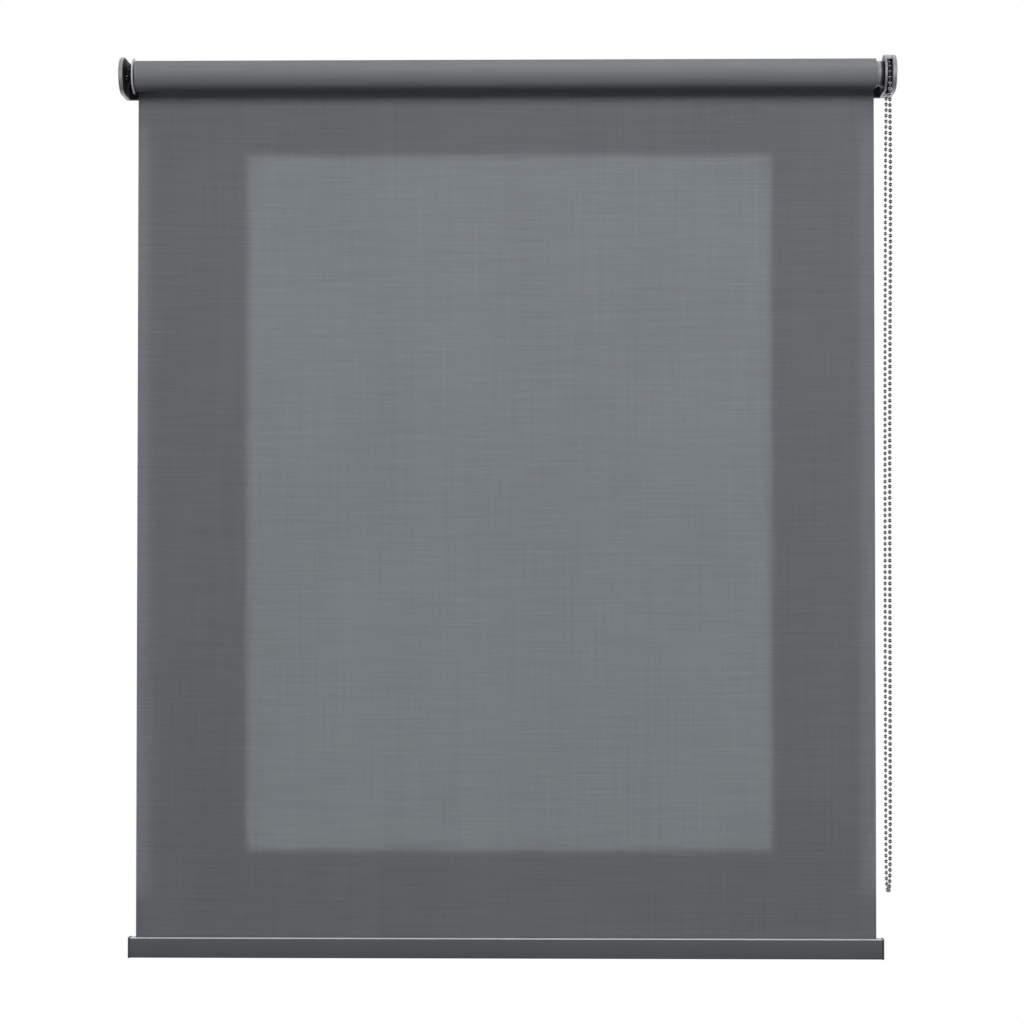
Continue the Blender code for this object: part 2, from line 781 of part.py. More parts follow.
def chain():
    """The bead chain as plain tubes: over the wheel, and two strands to a clasp."""
    radius = BEAD_DIAMETER / 2
    over = [
        (CHAIN_X, AXIS_Y + y, z) for y, z in arc((0, 0), WHEEL_PITCH_RADIUS, 180, 0, 20)
    ]
    pieces = [wire("chain_on_wheel", over, radius, CHROME)]
    for strand, name in enumerate(("chain_front_strand", "chain_back_strand")):
        side = 2 * strand - 1
        route = [
            (CHAIN_X - leans[strand], AXIS_Y + side * y, z) for *leans, y, z in CHAIN_ROUTE
        ]
        points = smooth_route(route, 12 * BEAD_PITCH)
        pieces.append(wire(name, points, radius, CHROME))
    nose = CONNECTOR_RADIUS / 2
    mesh_points = [
        (CONNECTOR_HALF_LENGTH, 0),
        (CONNECTOR_HALF_LENGTH, nose),
        (CONNECTOR_HALF_LENGTH - nose, CONNECTOR_RADIUS),
        (nose - CONNECTOR_HALF_LENGTH, CONNECTOR_RADIUS),
        (-CONNECTOR_HALF_LENGTH, nose),
        (-CONNECTOR_HALF_LENGTH, 0),
    ]
    clasp = turned("chain_connector", mesh_points, CHROME, steps=16)
    turn = Matrix.Rotation(math.radians(90), 4, "Z")
    clasp.data.transform(Euler((0, math.radians(90), 0)).to_matrix().to_4x4())
    place = Matrix.Translation((CHAIN_X - CONNECTOR_LEAN, 0, CONNECTOR_Z))
    clasp.data.transform(place @ turn)
    clasp.rotation_euler = (0, 0, 0)
    pieces.append(clasp)
    return pieces


def rail_outline(grow=0.0):
    """The bottom rail's rounded section about its centre line and top."""
    y = RAIL_DEPTH / 2 + grow
    low = -RAIL_HEIGHT - grow
    corner = RAIL_CORNER
    points = arc((y - corner, low + corner), corner, 0, -90, 4)
    points += arc((-y + corner, low + corner), corner, -90, -180, 4)
    points += arc((-y + corner, grow - corner), corner, 180, 90, 4)
    points += arc((y - corner, grow - corner), corner, 90, 0, 4)
    return points


def bottom_rail():
    """The extruded rail, its two caps, the keeper strip and the hung fabric."""
    top = -FABRIC_DROP
    centre = (FABRIC_Y, top)
    room = RAIL_DEPTH / 2 - RAIL_WALL
    floor = -RAIL_WALL - RAIL_CHANNEL
    lower = [
        (-room, floor - RAIL_WALL),
        (room, floor - RAIL_WALL),
        (room, RAIL_WALL - RAIL_HEIGHT),
        (-room, RAIL_WALL - RAIL_HEIGHT),
    ]
    low = RAIL_LEFT + CAP_THICKNESS + FIT_GAP
    high = RAIL_RIGHT - CAP_THICKNESS - FIT_GAP
    rail = slab("bottom_rail", [rail_outline(), lower], low, high, GREY_RAIL, centre)
    channel = box(
        "rail_channel",
        (low - RAIL_WALL, FABRIC_Y - room, top + floor),
        (high + RAIL_WALL, FABRIC_Y + room, top - RAIL_WALL),
    )
    boolean(rail, channel)
    slot = box(
        "rail_slot",
        (low - RAIL_WALL, FABRIC_Y - RAIL_SLOT / 2, top - 2 * RAIL_WALL),
        (high + RAIL_WALL, FABRIC_Y + RAIL_SLOT / 2, top + RAIL_WALL),
    )
    boolean(rail, slot)

    pieces = [rail]
    for name, side, end in (
        ("rail_cap_left", 1, RAIL_LEFT),
        ("rail_cap_right", -1, RAIL_RIGHT),
    ):
        inner = end + side * CAP_THICKNESS
        x_low, x_high = sorted((end, inner))
        cap = slab(name, [rail_outline(CAP_PROUD)], x_low, x_high, DARK, centre)
        tip = inner + side * CAP_SPIGOT
        x_low, x_high = sorted((end + side * CAP_THICKNESS / 2, tip))
        spigot = box(
            name + "_spigot",
            (x_low, FABRIC_Y - room + FIT_GAP, top - RAIL_HEIGHT + RAIL_WALL + FIT_GAP),
            (x_high, FABRIC_Y + room - FIT_GAP, top + floor - RAIL_WALL - FIT_GAP),
        )
        boolean(cap, spigot, "UNION")
        pieces.append(cap)

    keeper_top = top - RAIL_WALL - FIT_GAP
    pieces.append(
        box(
            "fabric_keeper",
            (low + CAP_THICKNESS, FABRIC_Y - KEEPER_WIDTH / 2, keeper_top - KEEPER_HEIGHT),
            (high - CAP_THICKNESS, FABRIC_Y + KEEPER_WIDTH / 2, keeper_top),
            PALE,
        )
    )
    pieces.append(
        box(
            "fabric_sheet",
            (FABRIC_LEFT, FABRIC_Y - FABRIC_THICKNESS / 2, keeper_top + FIT_GAP),
            (FABRIC_RIGHT, FABRIC_Y + FABRIC_THICKNESS / 2, 0),
            FABRIC,
        )
    )
    return pieces


left_end()
control_end()
wheel, hub, adapter = drive()
on_roller, on_pin = roller()
axis_point = (0, AXIS_Y, 0)
roller_body = empty("roller_axis", axis_point)
carry(roller_body, adapter, *on_roller)
carry(empty("idle_pin_axis", axis_point), *on_pin)
carry(empty("wheel_axis", axis_point), wheel, hub)
carry(empty("chain_axis", axis_point), *chain())
carry(empty("rail_carrier", (0, FABRIC_Y, -FABRIC_DROP)), *bottom_rail())
bpy.context.view_layer.update()
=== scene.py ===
import math

import bmesh
import bpy
import numpy as np
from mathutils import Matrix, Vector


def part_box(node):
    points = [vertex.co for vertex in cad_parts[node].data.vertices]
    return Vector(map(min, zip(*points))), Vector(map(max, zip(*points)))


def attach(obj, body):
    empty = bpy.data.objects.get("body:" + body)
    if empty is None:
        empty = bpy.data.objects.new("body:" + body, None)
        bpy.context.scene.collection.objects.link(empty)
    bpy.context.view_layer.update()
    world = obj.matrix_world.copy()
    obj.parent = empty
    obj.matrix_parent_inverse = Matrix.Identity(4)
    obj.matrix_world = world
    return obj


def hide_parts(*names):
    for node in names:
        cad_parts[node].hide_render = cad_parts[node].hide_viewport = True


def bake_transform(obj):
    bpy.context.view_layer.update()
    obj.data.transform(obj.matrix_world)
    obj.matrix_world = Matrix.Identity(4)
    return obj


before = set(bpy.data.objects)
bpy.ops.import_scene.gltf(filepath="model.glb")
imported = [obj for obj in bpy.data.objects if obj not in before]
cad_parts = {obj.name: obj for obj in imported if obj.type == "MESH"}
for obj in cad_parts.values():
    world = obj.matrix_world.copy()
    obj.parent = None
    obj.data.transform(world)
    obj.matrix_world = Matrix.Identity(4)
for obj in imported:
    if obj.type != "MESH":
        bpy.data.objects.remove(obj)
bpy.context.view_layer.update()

MM = 0.001
AXIS_Y = -34 * MM  # the roller's axis lies this far in front of the wall, at height 0

# The view. A long lens nearly three metres in front of the blind, a little below
# its middle and to the right, so that both end brackets turn their inner sides.
lens = bpy.data.cameras.new("camera")
lens.lens = 91.94
lens.sensor_width = 36
lens.clip_end = 50
camera = bpy.data.objects.new("camera", lens)
camera.location = (0.0538, -2.8016, -0.5265)
camera.rotation_euler = (math.radians(91.285), 0, math.radians(1.006))
bpy.context.scene.collection.objects.link(camera)
bpy.context.scene.camera = camera
bpy.context.scene.view_settings.view_transform = "Standard"


# The bead chain. Steel balls of 4.5 mm, threaded on a thin wire at a pitch of
# 6 mm, hang in one endless loop from the chain wheel. A clasp joins the ends.
def blend_points(start, end, low, high, t):
    """start at t = low, end at t = high, and a straight line between."""
    return (start * (high - t) + end * (t - low)) / (high - low)


def smooth_route(points, per_span=24):
    """A centripetal Catmull-Rom curve through points.

    Knots grow by the square root of each span's length, and three layers of
    straight blends between neighbours give the place at each knot value.
    """
    places = np.vstack([2 * points[0] - points[1], points, 2 * points[-1] - points[-2]])
    spans = [places[1:2]]
    for i in range(len(places) - 3):
        p = places[i : i + 4]
        knots = np.append(0, np.cumsum(np.sqrt(np.linalg.norm(np.diff(p, axis=0), axis=1))))
        t = np.linspace(knots[1], knots[2], per_span + 1)[1:, None]
        a = [blend_points(p[k], p[k + 1], knots[k], knots[k + 1], t) for k in range(3)]
        b = [blend_points(a[k], a[k + 1], knots[k], knots[k + 2], t) for k in range(2)]
        spans.append(blend_points(b[0], b[1], knots[1], knots[2], t))
    return np.vstack(spans)


def walk(route, distances):
    """The places at these distances along a polyline, and its directions there.

    A direction runs from half a millimetre behind the place to as far ahead.
    """
    steps = np.linalg.norm(np.diff(route, axis=0), axis=1)
    along = np.append(0, np.cumsum(steps))
    reach = 0.5 * MM
    behind, places, ahead = (
        np.stack([np.interp(distances + shift, along, line) for line in route.T], -1)
        for shift in (-reach, 0, reach)
    )
    heading = ahead - behind
    return places, heading / np.linalg.norm(heading, axis=1)[:, None]


def grid_faces(rows, columns, wrap_rows=False, wrap_columns=False):
    """Quads between neighbours on a grid of rows by columns, as vertex numbers."""
    index = np.arange(rows * columns).reshape(rows, columns)
    if wrap_rows:
        index = np.vstack([index, index[:1]])
    if wrap_columns:
        index = np.hstack([index, index[:, :1]])
    corners = [index[:-1, :-1], index[1:, :-1], index[1:, 1:], index[:-1, 1:]]
    return np.stack(corners, -1).reshape(-1, 4)


def piece_of(name, mesh, work, material, sharp=40):
    """A piece from worked faces turned outward, smooth but for edges past sharp degrees."""
    bmesh.ops.recalc_face_normals(work, faces=work.faces)
    work.to_mesh(mesh)
    work.free()
    mesh.shade_smooth()
    mesh.set_sharp_from_angle(angle=math.radians(sharp))
    mesh.materials.append(material)
    piece = bpy.data.objects.new(name, mesh)
    bpy.context.scene.collection.objects.link(piece)
    return piece


def add_piece(name, points, faces, material, extra=()):
    """A piece from points and quads, welded at its seams and poles."""
    mesh = bpy.data.meshes.new(name)
    mesh.from_pydata(points.reshape(-1, 3).tolist(), [], faces.tolist() + list(extra))
    work = bmesh.new()
    work.from_mesh(mesh)
    bmesh.ops.remove_doubles(work, verts=work.verts, dist=1e-6)
    bmesh.ops.dissolve_degenerate(work, edges=work.edges, dist=1e-7)
    return piece_of(name, mesh, work, material)


def string_of_beads(name, places, headings, bead_radius, wire_radius, pitch, material):
    """Balls at each place and a thin wire between, turned to their headings.

    One unit is a ball, whose radius at height h is sqrt(R^2 - h^2), and a wire
    as long as the pitch that passes through it. Every unit is set on three
    axes: the heading, one across it, and their cross product.
    """
    sides, rings, wire_sides = 10, 7, 6
    turn = np.arange(sides) * 2 * np.pi / sides
    lift = np.linspace(-1, 1, rings) * np.pi / 2
    ball = np.stack(np.broadcast_arrays(np.cos(lift)[:, None] * np.cos(turn),
                                        np.cos(lift)[:, None] * np.sin(turn),
                                        np.sin(lift)[:, None]), -1) * bead_radius
    wire_turn = np.arange(wire_sides) * 2 * np.pi / wire_sides
    ends = np.array([-0.5, 0.5]) * pitch
    wire = np.stack(np.broadcast_arrays(wire_radius * np.cos(wire_turn)[None, :],
                                        wire_radius * np.sin(wire_turn)[None, :],
                                        ends[:, None]), -1)
    side = np.cross(headings, [1.0, 0.0, 0.0])
    side /= np.linalg.norm(side, axis=1)[:, None]
    third = np.cross(headings, side)
    axes = np.stack([side, third, headings], 1)
    all_points, all_faces, count = [], [], 0
    for shape in (ball, wire):
        unit = shape.reshape(-1, 3)
        placed = places[:, None, :] + np.einsum("vk,nkj->nvj", unit, axes)
        quads = grid_faces(*shape.shape[:2], wrap_columns=True)
        step = np.arange(len(places))[:, None, None] * len(unit)
        all_points.append(placed.reshape(-1, 3))
        all_faces.append((quads[None] + step + count).reshape(-1, 4))
        count += len(unit) * len(places)
    return add_piece(name, np.vstack(all_points), np.vstack(all_faces), material)


def feed(tree, node, values):
    """Put a value, or another node's output, into each of these sockets of a node."""
    for socket, value in dict(values).items():
        if isinstance(value, bpy.types.NodeSocket):
            tree.links.new(value, node.inputs[socket])
        else:
            node.inputs[socket].default_value = value


def add_node(tree, kind, values=(), **settings):
    """A new node with these settings, fed with these values."""
    node = tree.nodes.new(kind)
    for setting, value in settings.items():
        setattr(node, setting, value)
    feed(tree, node, values)
    return node


def maths(tree, operation, *values):
    """The outcome of a Math node on up to three values or outputs."""
    return add_node(tree, "ShaderNodeMath", enumerate(values), operation=operation).outputs[0]


def scaled(tree, colour, factor):
    """A colour's output times a factor's."""
    return add_node(tree, "ShaderNodeVectorMath", {0: colour, "Scale": factor},
                    operation="SCALE").outputs[0]


def new_group(name, takes, gives):
    """A node group with sockets by name and kind, its inputs, and its end node."""
    group = bpy.data.node_groups.new(name, "ShaderNodeTree")
    for way, sockets in (("INPUT", takes), ("OUTPUT", gives)):
        for label, kind in sockets.items():
            group.interface.new_socket(name=label, in_out=way, socket_type="NodeSocket" + kind)
    return group, add_node(group, "NodeGroupInput").outputs, add_node(group, "NodeGroupOutput")


def mottle_group():
    """Colour and roughness that drift softly over a surface, with fine specks.

    Both are multiplied by 1 plus depth times (clouds + 0.4 grain - 0.7), where
    clouds and grain are noise of two sizes.
    """
    group, given, result = new_group(
        "mottle",
        {"Colour": "Color", "Roughness": "Float", "Cloud size": "Float",
         "Grain size": "Float", "Depth": "Float"},
        {"Colour": "Color", "Roughness": "Float", "Grain": "Float"},
    )
    place = add_node(group, "ShaderNodeTexCoord").outputs["Object"]
    clouds, grain = (
        add_node(group, "ShaderNodeTexNoise",
                 {"Vector": place, "Scale": given[size], "Detail": 3}).outputs["Fac"]
        for size in ("Cloud size", "Grain size")
    )
    drift = maths(group, "SUBTRACT", maths(group, "MULTIPLY_ADD", grain, 0.4, clouds), 0.7)
    gain = maths(group, "MULTIPLY_ADD", drift, given["Depth"], 1.0)
    feed(group, result, {"Colour": scaled(group, given["Colour"], gain),
                         "Roughness": maths(group, "MULTIPLY", given["Roughness"], gain),
                         "Grain": grain})
    return group


MOTTLE = mottle_group()


def new_material(name):
    """A material, its node tree and its Principled shader."""
    material = bpy.data.materials.new(name)
    material.use_nodes = True
    return material, material.node_tree, material.node_tree.nodes["Principled BSDF"]


def finish_of(name, colour, roughness, metallic=0.0, clouds=40, grain=900, depth=0.15,
              bump=0.0):
    """A Principled material whose colour and roughness run through the mottle group."""
    material, tree, shader = new_material(name)
    mottle = add_node(tree, "ShaderNodeGroup", {
        "Colour": (*colour, 1), "Roughness": roughness, "Cloud size": clouds,
        "Grain size": grain, "Depth": depth,
    }, node_tree=MOTTLE)
    feed(tree, shader, {"Metallic": metallic, "Base Color": mottle.outputs["Colour"],
                        "Roughness": mottle.outputs["Roughness"]})
    if bump:
        relief = add_node(tree, "ShaderNodeBump", {
            "Strength": bump, "Distance": 0.2 * MM, "Height": mottle.outputs["Grain"]})
        feed(tree, shader, {"Normal": relief.outputs["Normal"]})
    return material


bright_chrome = finish_of("bright_chrome", (0.86, 0.86, 0.88), 0.05, metallic=1.0,
                          clouds=60, grain=1500, depth=0.1)

BEAD_RADIUS = 2.25 * MM
BEAD_WIRE = 0.35 * MM
BEAD_PITCH = 6.0 * MM
WHEEL_POCKETS = 16
PITCH_RADIUS = BEAD_PITCH / (2 * math.sin(math.pi / WHEEL_POCKETS))
chain_low, chain_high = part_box("chain_on_wheel")
CHAIN_X = (chain_low.x + chain_high.x) / 2

# The strands' route: the front strand's lean towards the fabric, the back strand's,
# their distance from the axis, height. The loop hangs a little twisted.
strand_route = np.array([
    (0.00, 0.00, 15.38, -0.3),
    (-0.10, 0.20, 15.38, -30),
    (-0.40, 0.90, 15.38, -80),
    (-0.20, 1.50, 15.38, -180),
    (0.70, 2.20, 15.36, -300),
    (1.35, 2.60, 15.32, -420),
    (1.60, 2.95, 15.25, -560),
    (1.75, 3.05, 15.10, -700),
    (1.95, 3.05, 14.75, -800),
    (2.20, 2.95, 13.20, -843),
    (2.35, 2.75, 10.50, -856),
    (2.40, 2.55, 7.60, -861),
    (2.40, 2.45, 5.60, -862.1),
    (2.40, 2.40, 3.80, -862.2),
]) * MM
strands = []
for side, lean in ((-1, 0), (1, 1)):
    line = smooth_route(strand_route[:, [lean, 2, 3]])
    line[:, 0] = CHAIN_X - line[:, 0]
    line[:, 1] = AXIS_Y + side * line[:, 1]
    strands.append(line)

angles = np.pi - np.arange(WHEEL_POCKETS // 2 + 1) * 2 * np.pi / WHEEL_POCKETS
over_places = np.stack([np.full(len(angles), CHAIN_X),
                        AXIS_Y + PITCH_RADIUS * np.cos(angles),
                        PITCH_RADIUS * np.sin(angles)], -1)
over_heading = np.stack([np.zeros(len(angles)), np.sin(angles), -np.cos(angles)], -1)
beads_on_wheel = string_of_beads(
    "beads_on_wheel", over_places, over_heading, BEAD_RADIUS, BEAD_WIRE, BEAD_PITCH,
    bright_chrome,
)
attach(beads_on_wheel, "chain_loop")
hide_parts("chain_on_wheel")

hung_places, hung_headings = [], []
for line in strands:
    length = np.linalg.norm(np.diff(line, axis=0), axis=1).sum()
    stops = np.arange(BEAD_PITCH - 0.3 * MM, length - BEAD_RADIUS, BEAD_PITCH)
    places, headings = walk(line, stops)
    hung_places.append(places)
    hung_headings.append(headings)
bead_chain = string_of_beads(
    "bead_chain", np.vstack(hung_places), np.vstack(hung_headings), BEAD_RADIUS,
    BEAD_WIRE, BEAD_PITCH, bright_chrome,
)
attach(bead_chain, "chain_loop")
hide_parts("chain_front_strand", "chain_back_strand")


# The clasp. A small sleeve of bright steel, crimped at its middle. The chain's
# last balls snap into its two ends.
def eased(corners, radius, steps=4):
    """A polyline whose inner corners are rounded by short curves.

    Each corner gives way to a quadratic curve between the two points that lie
    radius away from it, or less than half of a shorter side.
    """
    corners = np.asarray(corners, float)
    points = [corners[0]]
    t = np.linspace(0, 1, steps + 1)[:, None]
    for before, corner, after in zip(corners, corners[1:], corners[2:]):
        back, ahead = before - corner, after - corner
        reach_back = min(radius, 0.45 * np.linalg.norm(back))
        reach_ahead = min(radius, 0.45 * np.linalg.norm(ahead))
        start = corner + back / np.linalg.norm(back) * reach_back
        end = corner + ahead / np.linalg.norm(ahead) * reach_ahead
        points.extend((1 - t) ** 2 * start + 2 * t * (1 - t) * corner + t**2 * end)
    points.append(corners[-1])
    return np.array(points)


def turned(name, profile, material, steps, closed=True):
    """A profile of (x, radius) rows turned about the roller's axis.

    At angle a the point lies at y = axis + radius cos a, z = radius sin a.
    A closed profile is a ring; an open one starts and ends on the axis.
    """
    turn = np.arange(steps) * 2 * np.pi / steps
    x, radius = profile[:, 0][:, None], profile[:, 1][:, None]
    points = np.stack(np.broadcast_arrays(x, AXIS_Y + radius * np.cos(turn),
                                          radius * np.sin(turn)), -1)
    faces = grid_faces(len(profile), steps, wrap_rows=closed, wrap_columns=True)
    return add_piece(name, points, faces, material)


def ring(corners, radius, steps=4):
    """A closed profile with every corner eased."""
    corners = list(corners)
    start = (np.array(corners[0]) + np.array(corners[-1])) / 2
    return eased([start, *corners, start], radius, steps)[:-1]


clasp_low, clasp_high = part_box("chain_connector")
clasp_middle = (np.array(clasp_low) + np.array(clasp_high)) / 2
half = (clasp_high.y - clasp_low.y) / 2
clasp_radius = (clasp_high.z - clasp_low.z) / 2
clasp_profile = eased(
    [
        (-half, 0),
        (-half, 0.62 * clasp_radius),
        (-0.75 * half, 0.98 * clasp_radius),
        (-0.3 * half, clasp_radius),
        (0, 0.72 * clasp_radius),
        (0.3 * half, clasp_radius),
        (0.75 * half, 0.98 * clasp_radius),
        (half, 0.62 * clasp_radius),
        (half, 0),
    ],
    0.5 * MM,
)
chain_clasp = turned("chain_clasp", clasp_profile, bright_chrome, 24, closed=False)
to_place = np.array([(0, 1, 0, clasp_middle[0]), (1, 0, 0, clasp_middle[1]),
                     (0, 0, 1, clasp_middle[2]), (0, 0, 0, 1.0)])
co = np.array([(*v.co, 1) for v in chain_clasp.data.vertices])
co[:, 1] -= AXIS_Y
chain_clasp.data.vertices.foreach_set("co", (co @ to_place.T)[:, :3].ravel())
chain_clasp.data.flip_normals()
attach(chain_clasp, "chain_loop")
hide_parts("chain_connector")

# The studio. A white surround that the eye sees, dim for the cloth, and for bright
# metal a band at eye level and a wall behind. The floor fades to white outwards.
# Lamps: overhead, front, back, a window behind the cloth, and two along its edges.
def smooth_ramp(tree, value, start, end, low, high):
    """low where value is under start, high past end, and a smooth step between."""
    ends = {"From Min": start, "From Max": end, "To Min": low, "To Max": high}
    return add_node(tree, "ShaderNodeMapRange", {"Value": value, **ends},
                    interpolation_type="SMOOTHSTEP").outputs["Result"]


FLOOR_Z = -1.95
floor_mesh = bpy.data.meshes.new("floor")
floor_points = [(-3, -3, FLOOR_Z), (3, -3, FLOOR_Z), (3, 3, FLOOR_Z), (-3, 3, FLOOR_Z)]
floor_mesh.from_pydata(floor_points, [], [(0, 1, 2, 3)])
floor_paint, tree, shader = new_material("pale_floor")
from_middle = add_node(tree, "ShaderNodeVectorMath", {
    0: add_node(tree, "ShaderNodeTexCoord").outputs["Object"], 1: (0, 0, FLOOR_Z),
}, operation="DISTANCE")
feed(tree, shader, {
    "Base Color": (0.6, 0.6, 0.59, 1), "Roughness": 0.9, "Specular IOR Level": 0.0,
    "Emission Strength": 1.0,
    "Emission Color": smooth_ramp(tree, from_middle.outputs["Value"], 0.9, 2.9, 0.5, 1.0),
})
floor_mesh.materials.append(floor_paint)
floor = bpy.data.objects.new("floor", floor_mesh)
floor.visible_glossy = False
floor.visible_diffuse = False
bpy.context.scene.collection.objects.link(floor)

world = bpy.data.worlds.new("studio")
bpy.context.scene.world = world
world.use_nodes = True
sky = world.node_tree
surround = sky.nodes["Background"]
feed(sky, surround, {"Color": (1, 1, 1, 1), "Strength": 1.0})
dim = add_node(sky, "ShaderNodeBackground", {"Color": (0.96, 0.98, 1, 1), "Strength": 0.13})
direction = add_node(sky, "ShaderNodeTexCoord").outputs["Generated"]
split = add_node(sky, "ShaderNodeSeparateXYZ", {0: direction}).outputs
band = smooth_ramp(sky, maths(sky, "ABSOLUTE", split["Z"]), 0.06, 0.28, 1.1, 0.01)
back_wall = smooth_ramp(sky, split["Y"], 0.15, 0.5, 0.0, 1.3)
mirrored = add_node(sky, "ShaderNodeBackground",
                    {"Strength": maths(sky, "MAXIMUM", band, back_wall)})
ray = add_node(sky, "ShaderNodeLightPath").outputs
unseen = add_node(sky, "ShaderNodeMixShader", {
    0: ray["Is Glossy Ray"], 1: dim.outputs[0], 2: mirrored.outputs[0]})
seen = add_node(sky, "ShaderNodeMixShader", {
    0: ray["Is Camera Ray"], 1: unseen.outputs[0], 2: surround.outputs[0]})
feed(sky, sky.nodes["World Output"], {"Surface": seen.outputs[0]})


def soft_light(name, place, aim, size, power, spread=180, colour=(1, 1, 1)):
    """A rectangular light at place, turned towards aim, unseen by the camera."""
    light = bpy.data.lights.new(name, "AREA")
    light.shape = "RECTANGLE"
    light.size, light.size_y = size
    light.energy = power
    light.spread = math.radians(spread)
    light.color = colour
    lamp = bpy.data.objects.new(name, light)
    lamp.location = place
    way = np.array(aim, float) - np.array(place, float)
    pitch = math.atan2(math.hypot(way[0], way[1]), -way[2])
    lamp.rotation_euler = (pitch, 0, math.atan2(-way[0], way[1]))
    lamp.visible_camera = False
    lamp.visible_glossy = False
    bpy.context.scene.collection.objects.link(lamp)


soft_light("overhead", (0.1, -0.42, 1.5), (0, -0.03, -0.1), (2.4, 0.5), 11.5)
soft_light("front", (0.95, -3.0, 1.25), (0, 0, -0.2), (2.2, 1.4), 49, spread=120)
soft_light("back", (-0.9, 2.4, -0.1), (0, 0, -0.4), (2.2, 1.4), 16)
PANE_LEFT, PANE_RIGHT = -0.2775, 0.2807
PANE_TOP, PANE_BOTTOM = -0.0835, -0.8235
pane_x, pane_z = (PANE_LEFT + PANE_RIGHT) / 2, (PANE_TOP + PANE_BOTTOM) / 2
soft_light("window", (pane_x, 0.055, pane_z), (pane_x, -1, pane_z),
           (PANE_RIGHT - PANE_LEFT, PANE_TOP - PANE_BOTTOM), 2.3, spread=14,
           colour=(0.94, 1, 0.98))
for name, side_x in (("left_edge_light", -0.398), ("right_edge_light", 0.393)):
    soft_light(name, (side_x, 0.03, -0.46), (side_x, -1, -0.46), (0.006, 0.82), 0.08,
               spread=60)


# The fabric. A plain weave in anthracite, 0.4 mm thick, that lets some light
# through. It is wound on the tube and falls from the back of the roll, straight
# down into the rail. Its side edges curl a little to the back.
def woven_cloth(name, colour, lit_colour, thread, glow):
    """Crossed threads with slubs, and a share of the light passing through."""
    material, tree, shader = new_material(name)
    feed(tree, shader, {"Roughness": 0.85, "Specular IOR Level": 0.25, "Sheen Weight": 0.15,
                        "Sheen Roughness": 0.5})
    place = add_node(tree, "ShaderNodeTexCoord").outputs["Object"]
    through = add_node(tree, "ShaderNodeBsdfTranslucent")
    for tone, target in ((lit_colour, through), (colour, shader)):
        weave = add_node(tree, "ShaderNodeGroup", {
            "Threads": 1 / thread, "Colour": (*tone, 1), "Vector": place,
        }, node_tree=WEAVE).outputs
        feed(tree, target, {0: weave["Colour"]})
    relief = add_node(tree, "ShaderNodeBump", {
        "Strength": 0.35, "Distance": 0.12 * MM, "Height": weave["Height"]})
    feed(tree, shader, {"Normal": relief.outputs["Normal"]})
    both = add_node(tree, "ShaderNodeMixShader",
                    {0: glow, 1: shader.outputs[0], 2: through.outputs[0]})
    feed(tree, tree.nodes["Material Output"], {"Surface": both.outputs[0]})
    return material


def weave_group():
    """Warp and weft as two crossed sine waves, and slubs as noise drawn out in lines.

    The threads' relief is the larger of sin^2 of x and sin^2 of z, and a little of
    the weft's slubs. The colour darkens in the gaps between threads.
    """
    group, given, result = new_group(
        "weave", {"Vector": "Vector", "Threads": "Float", "Colour": "Color"},
        {"Colour": "Color", "Height": "Float"},
    )
    split = add_node(group, "ShaderNodeSeparateXYZ", {0: given["Vector"]}).outputs
    waves = []
    for axis in ("X", "Z"):
        turns = maths(group, "MULTIPLY", split[axis], given["Threads"])
        wave = maths(group, "SINE", maths(group, "MULTIPLY", turns, math.pi))
        waves.append(maths(group, "MULTIPLY", wave, wave))
    crossing = maths(group, "MAXIMUM", *waves)
    gap = maths(group, "MULTIPLY_ADD", crossing, 0.45, 0.6)

    slubs = []
    for stretch in ((14, 14, 700), (420, 420, 9), (9, 9, 5)):
        mapping = add_node(group, "ShaderNodeMapping",
                           {"Scale": stretch, "Vector": given["Vector"]})
        noise = add_node(group, "ShaderNodeTexNoise",
                         {"Scale": 1.0, "Detail": 2, "Vector": mapping.outputs[0]})
        slubs.append(noise.outputs["Fac"])
    weft, warp, cloud = slubs
    streaks = maths(group, "MULTIPLY_ADD", weft, 0.27, maths(group, "MULTIPLY", warp, 0.14))
    streaks = maths(group, "MULTIPLY_ADD", cloud, 0.1, streaks)
    tone = maths(group, "MULTIPLY", maths(group, "ADD", streaks, 0.745), gap)
    feed(group, result, {"Colour": scaled(group, given["Colour"], tone),
                         "Height": maths(group, "MULTIPLY_ADD", weft, 0.4, crossing)})
    return group


WEAVE = weave_group()
THREAD = 0.42 * MM
LIT_THREADS = (0.53, 0.55, 0.56)
anthracite = woven_cloth("anthracite_weave", (0.222, 0.228, 0.245), LIT_THREADS, THREAD, 0.4)
wound_cloth = woven_cloth("wound_weave", (0.188, 0.194, 0.207), LIT_THREADS, THREAD, 0.0)

sheet_low, sheet_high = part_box("fabric_sheet")
CLOTH = sheet_high.y - sheet_low.y
SHEET_Y = (sheet_low.y + sheet_high.y) / 2
SHEET_LEFT, SHEET_RIGHT = sheet_low.x, sheet_high.x
CURL_WIDTH = 22 * MM


def hang_of(x):
    """How far the cloth strays from its plane: slow waves, and a curl at each edge.

    Three sines of 0.05 to 0.16 mm, plus 0.7 mm times the cube of how far x lies
    into the last 22 mm before an edge, as a share of them.
    """
    waves = 0.16 * np.sin(x / 0.047 + 0.6) + 0.1 * np.sin(x / 0.021)
    waves += 0.05 * np.sin(x / 0.0093)
    from_edge = np.minimum(x - SHEET_LEFT, SHEET_RIGHT - x)
    curl = np.clip(1 - from_edge / CURL_WIDTH, 0, 1) ** 3
    return (waves + 0.7 * curl) * MM


